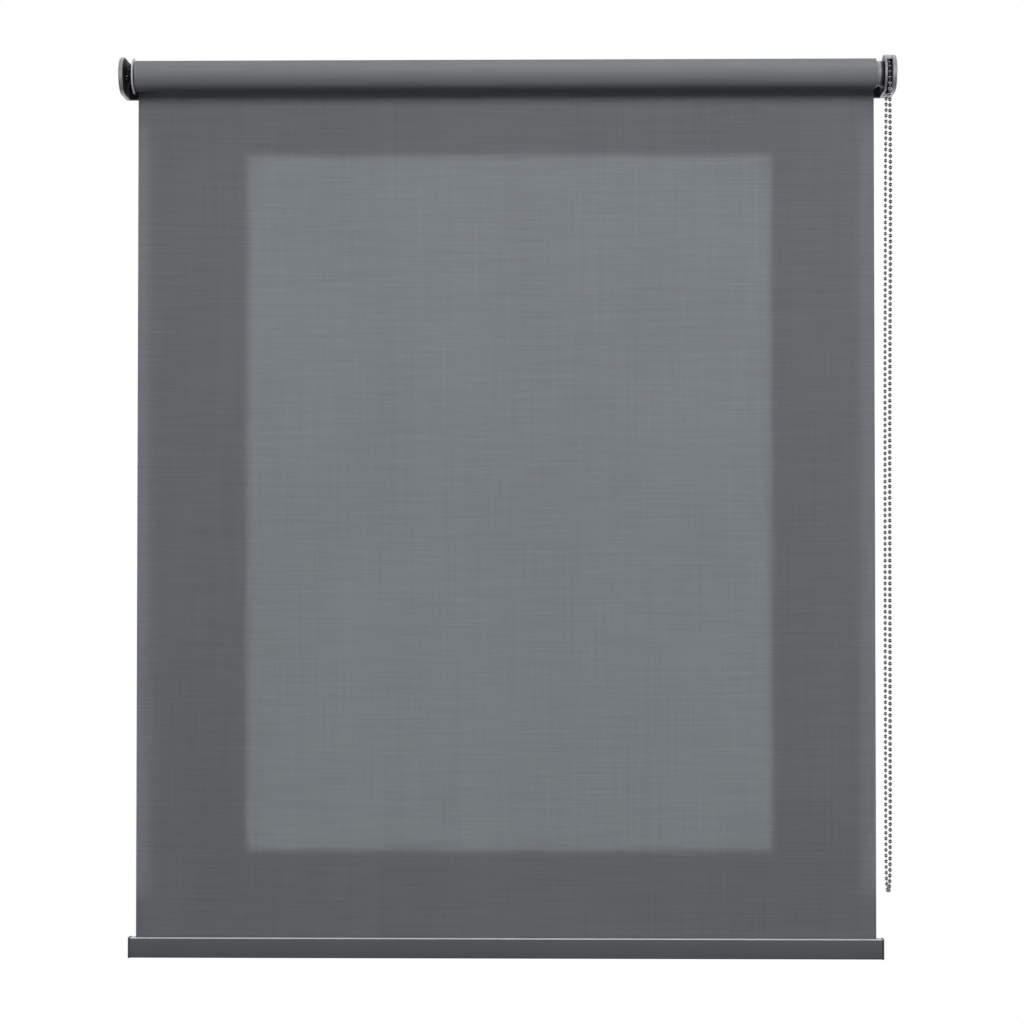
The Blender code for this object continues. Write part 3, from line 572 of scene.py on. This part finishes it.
COLUMNS = 241
x = SHEET_LEFT + (SHEET_RIGHT - SHEET_LEFT) * np.linspace(0, 1, COLUMNS)
y = SHEET_Y + hang_of(x)
loop_x = np.concatenate([x, x[::-1]])
loop_y = np.concatenate([y - CLOTH / 2, y[::-1] + CLOTH / 2])
rows = [np.stack([loop_x, loop_y, np.full(len(loop_x), z)], -1)
        for z in (sheet_high.z, sheet_low.z)]
count = len(loop_x)
faces = grid_faces(2, count, wrap_columns=True)
cloth_ends = []
for row in (0, 1):
    for i in range(COLUMNS - 1):
        quad = (i, i + 1, count - 2 - i, count - 1 - i)
        cloth_ends.append(tuple(row * count + k for k in quad))
hanging_cloth = add_piece("hanging_cloth", np.stack(rows), faces, anthracite, cloth_ends)
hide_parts("fabric_sheet")
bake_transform(hanging_cloth)

# The cloth that comes off the roll. It lies on the roll from a little in front of
# its top, over the back, and down to the height of the axis, where it leaves in a
# straight line. Its waves and curled edges die out on the roll.
roll_low, roll_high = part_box("fabric_roll")
ROLL_RADIUS = (roll_high.z - roll_low.z) / 2
WRAP = math.radians(115)
wrap_angles = np.linspace(0, WRAP, 36)
settled = wrap_angles / WRAP
leaves_at = SHEET_Y - AXIS_Y - CLOTH / 2
inner = leaves_at + (ROLL_RADIUS - CLOTH - leaves_at) * settled**3
outer = inner + CLOTH
loop = []
for radius, order in ((outer, slice(None)), (inner, slice(None, None, -1))):
    lift = hang_of(x)[None, :] * (1 - settled[order, None]) ** 2
    r = radius[order, None] + lift
    a = wrap_angles[order, None]
    loop.append(np.stack(np.broadcast_arrays(x[None, :], AXIS_Y + r * np.cos(a),
                                             r * np.sin(a)), -1))
wrap_points = np.concatenate(loop)
rows_in_loop, columns = wrap_points.shape[:2]
wrap_faces = grid_faces(rows_in_loop, columns, wrap_rows=True)
side_faces = []
for i in range(len(wrap_angles) - 1):
    for column in (0, columns - 1):
        quad = (i, i + 1, rows_in_loop - 2 - i, rows_in_loop - 1 - i)
        side_faces.append(tuple(k * columns + column for k in quad))
leaving_cloth = add_piece("leaving_cloth", wrap_points, wrap_faces, wound_cloth, side_faces)
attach(leaving_cloth, "mount_frame")

# The roll. The rest of the same cloth, wound on the tube and held to it by a tape.
# Its layers' edges show as eight fine steps at each end.
TURNS = 8
layer = 0.4 * MM
wobble = 0.12 * MM * np.sin(np.arange(TURNS) * 2.3)


def roll_end(edge, out):
    """Steps of one cloth's thickness from the rim inwards, each a little set in."""
    steps = []
    for k in range(TURNS):
        top = ROLL_RADIUS - 0.02 * MM - k * layer
        place = edge - out * (0.15 * MM + abs(wobble[k]))
        steps += [(place, top), (place, top - 0.8 * layer),
                  (place - out * 0.3 * MM, top - 0.9 * layer)]
    return steps


right_steps, left_steps = roll_end(roll_high.x, 1), roll_end(roll_low.x, -1)
span = np.linspace(roll_high.x - 2 * MM, roll_low.x + 2 * MM, 60)
swell = ROLL_RADIUS - 0.05 * MM * (1 - np.cos((span - span[0]) * 31)) / 2
body = np.stack([span, swell], -1)
roll_profile = np.vstack([right_steps[::-1], body, left_steps])
wound_roll = turned("wound_roll", roll_profile, wound_cloth, 96)
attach(wound_roll, "roller")
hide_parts("fabric_roll")


# The end covers. Silver caps, half round at the front, that slide over each
# bracket. Their outer edge is rolled over, and they are open towards the wall.
satin_silver = finish_of("satin_silver", (0.47, 0.465, 0.49), 0.42, metallic=0.5, clouds=90,
                         grain=1200, depth=0.25, bump=0.1)


def half_round(name, sections, radius, back, material, arc_steps=48, top=90):
    """A plate or shell with the bracket's side view, open or closed at its spine.

    Each section is (x, inset). Its outline runs along the top from the wall side,
    round the front on an arc of radius less inset from the top angle to 270
    degrees, and back underneath. An inset equal to the radius lies on the spine,
    where both halves meet.
    """
    share = np.linspace(0, 1, 5)[:-1]
    angle = np.linspace(math.radians(top), 3 * np.pi / 2, arc_steps + 1)
    x, inset = sections[:, 0][:, None], sections[:, 1][:, None]
    r = radius - inset
    front_y = AXIS_Y + r * np.cos(angle)
    y = np.hstack([
        back + (front_y[:, :1] - back) * share,
        front_y,
        back + (front_y[:, -1:] - back) * share[::-1],
    ])
    z = np.hstack([
        np.broadcast_to(r * np.sin(angle[0]), (len(sections), 4)),
        r * np.sin(angle),
        np.broadcast_to(-r, (len(sections), 4)),
    ])
    points = np.stack(np.broadcast_arrays(x, y, z), -1)
    rows, columns = points.shape[:2]
    caps = [tuple(i * columns for i in range(rows)),
            tuple(i * columns + columns - 1 for i in range(rows))]
    return add_piece(name, points, grid_faces(rows, columns), material, caps)


COVER_WALL = 1.2 * MM
ROLLED_EDGE = 1.8 * MM
for name, node, side in (("left_end_cap", "left_cover", -1),
                         ("control_end_cap", "control_cover", 1)):
    low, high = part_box(node)
    face, rim = (low.x, high.x) if side < 0 else (high.x, low.x)
    radius = (high.z - low.z) / 2
    sections = eased([(face, radius), (face, 0), (rim, 0)], ROLLED_EDGE, 8)
    inner_face = face - side * COVER_WALL
    sections = np.vstack([
        sections[:-1],
        eased([sections[-2], (rim, 0), (rim, COVER_WALL), (inner_face, COVER_WALL),
               (inner_face, radius)], 0.35 * MM)[1:],
    ])
    cap = half_round(name, sections, radius, high.y, satin_silver)
    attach(cap, "mount_frame")
    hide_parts(node)

# The brackets. Bent steel, 2 mm thick, each with a plate on the wall that has two
# long screw holes. The sheet's large faces are near black as painted shade, lighter in a
# narrow band at their top and bottom as a painted highlight of the lit edges; its sheared
# edges show the zinc.
zinc = finish_of("zinc_plate", (0.5, 0.5, 0.52), 0.42, metallic=0.9, clouds=30, grain=700,
                 depth=0.35, bump=0.08)


def paint(node, material):
    """Give a node from the model its material."""
    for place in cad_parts[node].material_slots:
        place.material = material


def softened(name, node, body, material, width=0.3 * MM):
    """A merged copy of a node with its flat faces whole again and its edges eased."""
    piece = bpy.data.objects.new(name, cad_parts[node].data.copy())
    bpy.context.scene.collection.objects.link(piece)
    work = bmesh.new()
    work.from_mesh(piece.data)
    bmesh.ops.remove_doubles(work, verts=work.verts, dist=2e-6)
    bmesh.ops.dissolve_limit(work, angle_limit=math.radians(1), verts=work.verts,
                             edges=work.edges)
    work.to_mesh(piece.data)
    work.free()
    piece.data.materials.clear()
    piece.data.materials.append(material)
    ease(piece, width)
    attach(piece, body)
    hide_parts(node)
    return piece


def settle(piece):
    """Make a piece's modifiers part of its mesh."""
    graph = bpy.context.evaluated_depsgraph_get()
    mesh = bpy.data.meshes.new_from_object(piece.evaluated_get(graph))
    piece.modifiers.clear()
    piece.data = mesh


def ease(piece, width, sharp=35):
    """Round a piece's edges past sharp degrees by a small bevel."""
    modifier = piece.modifiers.new("eased", "BEVEL")
    modifier.width = width
    modifier.segments = 2
    modifier.limit_method = "ANGLE"
    modifier.angle_limit = math.radians(sharp)
    modifier.use_clamp_overlap = True
    settle(piece)
    piece.data.shade_smooth()
    piece.data.set_sharp_from_angle(angle=math.radians(40))


def second_finish(piece, material, chosen):
    """Give the faces that chosen picks out, from their normals and centres, a finish."""
    count = len(piece.data.polygons)
    normals, centres = np.empty(3 * count), np.empty(3 * count)
    piece.data.polygons.foreach_get("normal", normals)
    piece.data.polygons.foreach_get("center", centres)
    picked = chosen(normals.reshape(-1, 3), centres.reshape(-1, 3))
    piece.data.materials.append(material)
    piece.data.polygons.foreach_set("material_index", picked.astype(np.int32))


# Painted shade: near black on the bracket plates' large faces, where they lie in shade.
painted_shade_coat = finish_of("painted_shade_coat", (0.02, 0.02, 0.022), 0.55, clouds=40, grain=900,
                      depth=0.3, bump=0.08)
tree = painted_shade_coat.node_tree
place = add_node(tree, "ShaderNodeTexCoord").outputs["Object"]
height = maths(tree, "ABSOLUTE",
               add_node(tree, "ShaderNodeSeparateXYZ", {0: place}).outputs["Z"])
# Painted highlight: from 18.3 to 19 mm above and below the axis the colour turns lighter grey,
# for the light on the plates' top and bottom edges.
painted_edge_band = add_node(tree, "ShaderNodeMapRange",
                {"Value": height, "From Min": 18.3 * MM, "From Max": 19.0 * MM})
coat = next(node for node in tree.nodes if node.type == "GROUP")
edge_highlight_colour = add_node(tree, "ShaderNodeMix", {
    "Factor": painted_edge_band.outputs["Result"], "A": coat.outputs["Colour"], "B": (0.45, 0.44, 0.47, 1),
}, data_type="RGBA")
feed(tree, tree.nodes["Principled BSDF"], {"Base Color": edge_highlight_colour.outputs["Result"]})


def sheet_faces(normals, centres):
    """The two large faces of the wall plate and of the side plate."""
    return (np.abs(normals[:, 1]) > 0.9) | (np.abs(normals[:, 0]) > 0.9)


for name, node in (("left_bracket_steel", "left_bracket"),
                   ("right_bracket_steel", "right_bracket")):
    steel = softened(name, node, "mount_frame", zinc)
    # The large faces take the painted shade, with its painted highlight band.
    second_finish(steel, painted_shade_coat, sheet_faces)

# The bearing insert. Black moulded plastic on the inside of the left bracket,
# with a channel from the front that guides the idle pin into its hole.
black_plastic = finish_of("black_plastic", (0.012, 0.0115, 0.014), 0.6, clouds=120,
                          grain=2200, depth=0.3, bump=0.12)
tree = black_plastic.node_tree
feed(tree, tree.nodes["Principled BSDF"], {"Specular IOR Level": 0.25})
softened("pin_bearing", "left_bearing_insert", "mount_frame", black_plastic,
         0.25 * MM)

# The idle end. A black plug pressed into the tube, a thin pale disc that keeps
# the cloth clear of the bracket, and a sprung steel pin that snaps into place.
pale_plastic = finish_of("pale_plastic", (0.62, 0.61, 0.66), 0.4, clouds=70, grain=1600,
                         depth=0.15, bump=0.08)
disc_low, disc_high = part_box("idle_flange")
DISC_RADIUS = (disc_high.z - disc_low.z) / 2
DISC_BORE = 8.3 * MM
disc = turned(
    "idle_disc",
    ring([(disc_high.x, DISC_BORE), (disc_high.x, DISC_RADIUS),
          (disc_low.x, DISC_RADIUS), (disc_low.x, DISC_BORE)], 0.5 * MM, 5),
    pale_plastic, 128,
)
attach(disc, "roller")
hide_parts("idle_flange")
paint("idle_plug", black_plastic)
steel_pin = finish_of("steel_pin", (0.6, 0.6, 0.62), 0.25, metallic=1.0, clouds=60,
                      grain=900, depth=0.2)
paint("idle_pin", steel_pin)
spring_wire = finish_of("spring_wire", (0.3, 0.3, 0.32), 0.35, metallic=1.0, clouds=200,
                        grain=1500, depth=0.3)


def coil_tube(name, x_start, x_end, radius, wire_radius, turns, material):
    """A wire wound round the roller's axis at an even pitch, closed at both ends.

    At share s the wire's centre is at x_start + s (x_end - x_start), turned by
    2 pi times turns times s. The first and last rings shrink to a point.
    """
    per_turn, sides = 28, 10
    s = np.linspace(0, 1, turns * per_turn + 1)
    s = np.concatenate([s[:1], s, s[-1:]])
    size = np.full(len(s), wire_radius)
    size[[0, -1]] = 1e-6
    angle = 2 * np.pi * turns * s[:, None]
    round_wire = np.arange(sides) * 2 * np.pi / sides
    x = x_start + (x_end - x_start) * s[:, None] + size[:, None] * np.sin(round_wire)
    r = radius + size[:, None] * np.cos(round_wire)
    points = np.stack([x, AXIS_Y + r * np.cos(angle), r * np.sin(angle)], -1)
    return add_piece(name, points, grid_faces(len(s), sides, wrap_columns=True), material)


spring_low, spring_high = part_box("idle_pin_spring")
PIN_WIRE, PIN_TURNS = 0.5 * MM, 8
spring_radius = (spring_high.z - spring_low.z) / 2 - PIN_WIRE
pin_spring = coil_tube("pin_spring", spring_low.x + PIN_WIRE, spring_high.x - PIN_WIRE,
                       spring_radius, PIN_WIRE, PIN_TURNS, spring_wire)
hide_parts("idle_pin_spring")
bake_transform(pin_spring)

# The tube and its tape. A galvanised steel tube of 25 mm, and a strip of
# double-sided tape along it that holds the first turn of cloth.
galvanised = finish_of("galvanised", (0.55, 0.56, 0.58), 0.45, metallic=0.9, clouds=55,
                       grain=400, depth=0.5, bump=0.05)
paint("roller_tube", galvanised)
tape_film = finish_of("tape_film", (0.7, 0.68, 0.62), 0.5, clouds=30, grain=800, depth=0.15)
paint("fabric_tape", tape_film)

# The chain control. A silver housing with a slot for the chain, a toothed wheel
# in it on a fixed black core, and a dark hub that drives the tube through a
# light grey adapter. Two wrap springs on the core hold the blind where it stops.
def cut(piece, *cutters):
    """Take cutters away from a piece, and drop them."""
    for cutter in cutters:
        modifier = piece.modifiers.new("cut", "BOOLEAN")
        modifier.operation = "DIFFERENCE"
        modifier.solver = "EXACT"
        modifier.object = cutter
    settle(piece)
    for cutter in cutters:
        bpy.data.objects.remove(cutter)


def brick(name, low, high, material):
    """A plain block between two corners, to cut with."""
    share = np.array([(i, j, k) for i in (0, 1) for j in (0, 1) for k in (0, 1)])
    points = np.array(low) + share * (np.array(high) - np.array(low))
    faces = np.array([(0, 1, 3, 2), (4, 6, 7, 5), (0, 4, 5, 1),
                      (2, 3, 7, 6), (0, 2, 6, 4), (1, 5, 7, 3)])
    return add_piece(name, points, faces, material)


housing_low, housing_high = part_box("control_housing")
HOUSING_RADIUS = (housing_high.z - housing_low.z) / 2
SLOT_HALF = BEAD_RADIUS + 0.55 * MM
SLOT_LOW, SLOT_HIGH = CHAIN_X - SLOT_HALF, CHAIN_X + SLOT_HALF
CAVITY = PITCH_RADIUS + BEAD_RADIUS + 0.4 * MM
CHEEK = SLOT_LOW - housing_low.x
SLOT_TOP, BOSS_HOLE, CORE_HOLE = 13.5 * MM, 9.3 * MM, 8.3 * MM
sections = np.vstack([
    eased([(housing_low.x, HOUSING_RADIUS), (housing_low.x, 0), (SLOT_HIGH, 0)],
          1.5 * MM, 6)[:-1],
    eased([(SLOT_HIGH - 0.5 * MM, 0), (SLOT_HIGH, 0), (SLOT_HIGH, 1.5 * MM),
           (housing_high.x, 1.5 * MM), (housing_high.x, HOUSING_RADIUS)], 0.3 * MM, 2),
])
housing = half_round("chain_housing", sections, HOUSING_RADIUS, housing_high.y,
                     satin_silver, arc_steps=64, top=40)
far = 3 * HOUSING_RADIUS


def drill(name, x_low, x_high, radius):
    """A round cutter about the roller's axis."""
    profile = np.array([(x_low, 0), (x_low, radius), (x_high, radius), (x_high, 0)])
    return turned(name, profile, satin_silver, 96, closed=False)


cut(
    housing,
    drill("cavity", SLOT_LOW, SLOT_HIGH, CAVITY),
    brick("window", (SLOT_LOW, AXIS_Y - far, -far), (SLOT_HIGH, AXIS_Y + CAVITY + 1 * MM, 0),
          satin_silver),
    brick("front", (SLOT_LOW, AXIS_Y - far, -0.2 * MM), (SLOT_HIGH, AXIS_Y, SLOT_TOP),
          satin_silver),
    drill("boss_hole", housing_low.x - 1 * MM, SLOT_LOW + 0.2 * MM, BOSS_HOLE),
    drill("core_hole", SLOT_HIGH - 0.2 * MM, housing_high.x + 1 * MM, CORE_HOLE),
)
ease(housing, 0.3 * MM, 45)
# Dark plastic for the drive hub; on the housing the same finish is painted shade.
dark_plastic = finish_of("dark_plastic", (0.055, 0.05, 0.068), 0.38, clouds=100, grain=1800,
                         depth=0.25, bump=0.1)
# Painted shade: the housing's inner face towards the roll takes the dark finish, for the shade
# that falls there.
second_finish(housing, dark_plastic, lambda normals, centres:
              (normals[:, 0] < -0.8) & (centres[:, 0] < SLOT_LOW - CHEEK / 2))
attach(housing, "mount_frame")
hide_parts("control_housing")

# The wheel: a boss and a sleeve towards the roll, and a rim with a hollow for every
# ball, cut by a sphere a little larger than the ball.
wheel_low, wheel_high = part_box("chain_wheel")
dark_wheel = finish_of("dark_wheel", (0.03, 0.03, 0.032), 0.5, clouds=150, grain=2000,
                       depth=0.3, bump=0.1)
WHEEL_HALF = wheel_high.x - CHAIN_X
BORE, SLEEVE, BOSS = 5.3 * MM, 7.5 * MM, 9 * MM
RIDGE = PITCH_RADIUS - 0.2 * MM
ridge_x = np.linspace(WHEEL_HALF, -WHEEL_HALF, 33)
groove = 1.1 * MM * np.exp(-((ridge_x / (0.75 * MM)) ** 2))
shoulder = 0.5 * MM * (np.abs(ridge_x) / WHEEL_HALF) ** 8
ridge = np.stack([CHAIN_X + ridge_x, RIDGE - groove - shoulder], -1)
boss_x = housing_low.x - 0.3 * MM
inside = eased([ridge[-1], (CHAIN_X - WHEEL_HALF, BOSS), (boss_x, BOSS), (boss_x, SLEEVE),
                (wheel_low.x, SLEEVE), (wheel_low.x, BORE), (wheel_high.x, BORE), ridge[0]],
               0.3 * MM, 3)
profile = np.vstack([ridge, inside[1:-1]])
per_pocket = 26
steps = WHEEL_POCKETS * per_pocket
turn = np.arange(steps) * 2 * np.pi / steps
pocket = 2 * np.pi / WHEEL_POCKETS
off = (turn + pocket / 2) % pocket - pocket / 2
CUT = BEAD_RADIUS + 0.32 * MM
inside_sphere = CUT**2 - (profile[:, :1] - CHAIN_X) ** 2 - (PITCH_RADIUS * np.sin(off)) ** 2
floor_of_pocket = PITCH_RADIUS * np.cos(off) - np.sqrt(np.clip(inside_sphere, 0, None))
in_rim = profile[:, 1:] > 12 * MM
in_pocket = (inside_sphere > 0) & in_rim
radius = np.where(in_pocket, np.minimum(profile[:, 1:], floor_of_pocket), profile[:, 1:])
points = np.stack(np.broadcast_arrays(profile[:, :1], AXIS_Y + radius * np.cos(turn),
                                      radius * np.sin(turn)), -1)
toothed_wheel = add_piece(
    "toothed_wheel", points, grid_faces(len(profile), steps, True, True), dark_wheel
)
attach(toothed_wheel, "drive_wheel")
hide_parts("chain_wheel")

hub_low, hub_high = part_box("drive_hub")
light_grey = finish_of("light_grey_plastic", (0.3, 0.3, 0.29), 0.35, clouds=80, grain=1700,
                       depth=0.2, bump=0.08)
drum_bore, neck, barrel, lip = 7.8 * MM, 9 * MM, 13 * MM, 13.6 * MM
barrel_x, lip_x = 392.7 * MM, hub_high.x - 2.6 * MM
drum = turned(
    "drive_drum",
    ring([(hub_high.x, drum_bore), (hub_high.x, lip), (lip_x, lip), (lip_x, barrel),
          (barrel_x, barrel), (barrel_x, neck), (hub_low.x, neck), (hub_low.x, drum_bore)],
         0.4 * MM, 4),
    dark_plastic, 96,
)
second_finish(drum, light_grey, lambda normals, centres:
              (centres[:, 0] < lip_x + 0.1 * MM) & (centres[:, 0] > barrel_x - 0.7 * MM))
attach(drum, "drive_wheel")
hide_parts("drive_hub")

adapter_low, adapter_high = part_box("drive_adapter")
collar_bore, in_tube, flange, flange_x = 9.3 * MM, 11.2 * MM, 13.8 * MM, 391 * MM
collar = turned(
    "tube_adapter",
    ring([(adapter_high.x, collar_bore), (adapter_high.x, flange), (flange_x, flange),
          (flange_x, in_tube), (adapter_low.x, in_tube), (adapter_low.x, collar_bore)],
         0.4 * MM, 4),
    light_grey, 96,
)
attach(collar, "roller")
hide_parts("drive_adapter")
paint("control_core", black_plastic)
paint("core_screw", steel_pin)
for coil in ("wrap_spring_inner", "wrap_spring_outer"):
    paint(coil, spring_wire)

# The bottom rail. A hollow aluminium extrusion, powder coated grey, whose weight
# keeps the cloth flat. The cloth enters through the slot and ends in the channel,
# where a plastic strip holds it. A plastic cap closes each end.
rail_grey = finish_of("rail_grey", (0.12, 0.124, 0.138), 0.38, metallic=0.3, clouds=25,
                      grain=2600, depth=0.2, bump=0.12)
low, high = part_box("bottom_rail")
RAIL_MIDDLE = (low.y + high.y) / 2
RAIL_TOP = high.z
RAIL_HEIGHT = high.z - low.z
RAIL_HALF = (high.y - low.y) / 2
WALL = 1.4 * MM
SLOT = 1.7 * MM
CHANNEL_FLOOR = -WALL - 5.6 * MM


def closed_outline(corners, radii, steps=5):
    """A closed outline whose corners are eased, each by its own radius."""
    corners = np.asarray(corners, float)
    count = len(corners)
    points = []
    t = np.linspace(0, 1, steps + 1)[:, None]
    for i in range(count):
        before, corner, after = corners[i - 1], corners[i], corners[(i + 1) % count]
        start = corner + (before - corner) / np.linalg.norm(before - corner) * radii[i]
        end = corner + (after - corner) / np.linalg.norm(after - corner) * radii[i]
        points.extend((1 - t) ** 2 * start + 2 * t * (1 - t) * corner + t**2 * end)
    return np.array(points)


def extruded(name, outlines, x_low, x_high, material):
    """Outlines in (y, z), the first solid and the rest hollows, drawn along X.

    Each outline becomes a band between the two ends, and each end is filled with
    triangles between its outlines.
    """
    points, faces, ends, count = [], [], [[], []], 0
    for outline in outlines:
        size = len(outline)
        rows = [np.column_stack([np.full(size, x), outline]) for x in (x_low, x_high)]
        points.append(np.vstack(rows))
        faces.append(grid_faces(2, size, wrap_columns=True) + count)
        for end in (0, 1):
            first = count + end * size
            ends[end] += [(first + i, first + (i + 1) % size) for i in range(size)]
        count += 2 * size
    mesh = bpy.data.meshes.new(name)
    mesh.from_pydata(np.vstack(points).tolist(), [], np.vstack(faces).tolist())
    work = bmesh.new()
    work.from_mesh(mesh)
    work.verts.ensure_lookup_table()
    for end in ends:
        edges = [work.edges.get((work.verts[a], work.verts[b])) for a, b in end]
        bmesh.ops.triangle_fill(work, use_beauty=True, edges=edges)
    return piece_of(name, mesh, work, material, 35)


half, bottom, room = RAIL_HALF, -RAIL_HEIGHT, RAIL_HALF - WALL
shape = closed_outline(
    [(half, 0), (half, bottom), (-half, bottom), (-half, 0), (-SLOT, 0), (-SLOT, -WALL),
     (-room, -WALL), (-room, CHANNEL_FLOOR), (room, CHANNEL_FLOOR), (room, -WALL),
     (SLOT, -WALL), (SLOT, 0)],
    np.array([1.2, 1.2, 1.2, 1.2, 0.4, 0.4, 0.3, 0.4, 0.4, 0.3, 0.4, 0.4]) * MM,
)
hollow = closed_outline(
    [(room, CHANNEL_FLOOR - WALL), (room, bottom + WALL), (-room, bottom + WALL),
     (-room, CHANNEL_FLOOR - WALL)], np.full(4, 0.5 * MM),
)
place = np.array([RAIL_MIDDLE, RAIL_TOP])
rail = extruded("rail_extrusion", [shape + place, hollow + place], low.x, high.x, rail_grey)
# Painted highlight: the rail's top faces take a pale colour for the light falling on them from
# above.
painted_top_highlight = finish_of("painted_top_highlight", (0.82, 0.82, 0.83), 0.5, metallic=0.3,
                           clouds=50, grain=1500, depth=0.15, bump=0.05)
second_finish(rail, painted_top_highlight, lambda normals, centres:
              (normals[:, 2] > 0.3) & (centres[:, 2] > RAIL_TOP - 1.2 * MM))
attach(rail, "bottom_rail")
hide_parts("bottom_rail")


def rounded_bar(name, sections, half_width, height, corner, material, centre):
    """A bar along X with a rounded rectangle for its section.

    Each section is (x, inset). Every corner is a quarter circle of the corner
    radius less the inset, about the same centre, and the sides come in by the
    inset. Both end faces are closed.
    """
    per_corner = 7
    angle = np.linspace(0, np.pi / 2, per_corner)
    turns = np.concatenate([angle + k * np.pi / 2 for k in range(4)])
    flat_y = np.repeat([1, -1, -1, 1], per_corner) * (half_width - corner)
    flat_z = np.repeat([1, 1, -1, -1], per_corner) * (height / 2 - corner)
    x, inset = sections[:, :1], sections[:, 1:]
    tight = np.clip(corner - inset, 0, None)
    extra = np.clip(inset - corner, 0, None)
    y = centre[0] + flat_y - np.sign(flat_y) * extra + tight * np.cos(turns)
    z = centre[1] - height / 2 + flat_z - np.sign(flat_z) * extra + tight * np.sin(turns)
    points = np.stack(np.broadcast_arrays(x, y, z), -1)
    rows, columns = points.shape[:2]
    caps = [tuple(range(columns)), tuple(range((rows - 1) * columns, rows * columns))]
    return add_piece(name, points, grid_faces(rows, columns, wrap_columns=True),
                     material, caps)


cap_grey = finish_of("cap_grey", (0.085, 0.085, 0.083), 0.45, clouds=60, grain=2000,
                     depth=0.25, bump=0.1)
CAP_THICK, PLUG_ROOM = 2 * MM, 0.2 * MM
for name, node, side in (("left_rail_end", "rail_cap_left", -1),
                         ("right_rail_end", "rail_cap_right", 1)):
    low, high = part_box(node)
    outer, plug_end = (low.x, high.x) if side < 0 else (high.x, low.x)
    inner = outer - side * CAP_THICK
    proud = (high.z - low.z) / 2 - RAIL_HEIGHT / 2
    cap_profile = eased([(outer, 1 * MM), (outer, 0), (inner, 0), (inner, 1 * MM)],
                        0.6 * MM, 5)
    cap = rounded_bar(name, cap_profile, RAIL_HALF + proud, RAIL_HEIGHT + 2 * proud,
                      1.6 * MM, cap_grey, (RAIL_MIDDLE, high.z))
    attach(cap, "bottom_rail")
    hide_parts(node)
    plug_profile = eased([(inner + side * 0.5 * MM, 0.4 * MM), (inner + side * 0.5 * MM, 0),
                          (plug_end, 0), (plug_end, 0.5 * MM)], 0.3 * MM, 3)
    plug_top = RAIL_TOP + CHANNEL_FLOOR - WALL - PLUG_ROOM
    plug_height = plug_top - (RAIL_TOP - RAIL_HEIGHT + WALL + PLUG_ROOM)
    plug = rounded_bar(name + "_plug", plug_profile, RAIL_HALF - WALL - PLUG_ROOM,
                       plug_height, 0.6 * MM, cap_grey, (RAIL_MIDDLE, plug_top))
    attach(plug, "bottom_rail")

low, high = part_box("fabric_keeper")
strip_profile = eased([(low.x, 1 * MM), (low.x, 0), (high.x, 0), (high.x, 1 * MM)],
                      0.6 * MM, 4)
strip = rounded_bar("keeper_strip", strip_profile, (high.y - low.y) / 2, high.z - low.z,
                    1.2 * MM, pale_plastic, ((low.y + high.y) / 2, high.z))
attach(strip, "bottom_rail")
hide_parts("fabric_keeper")
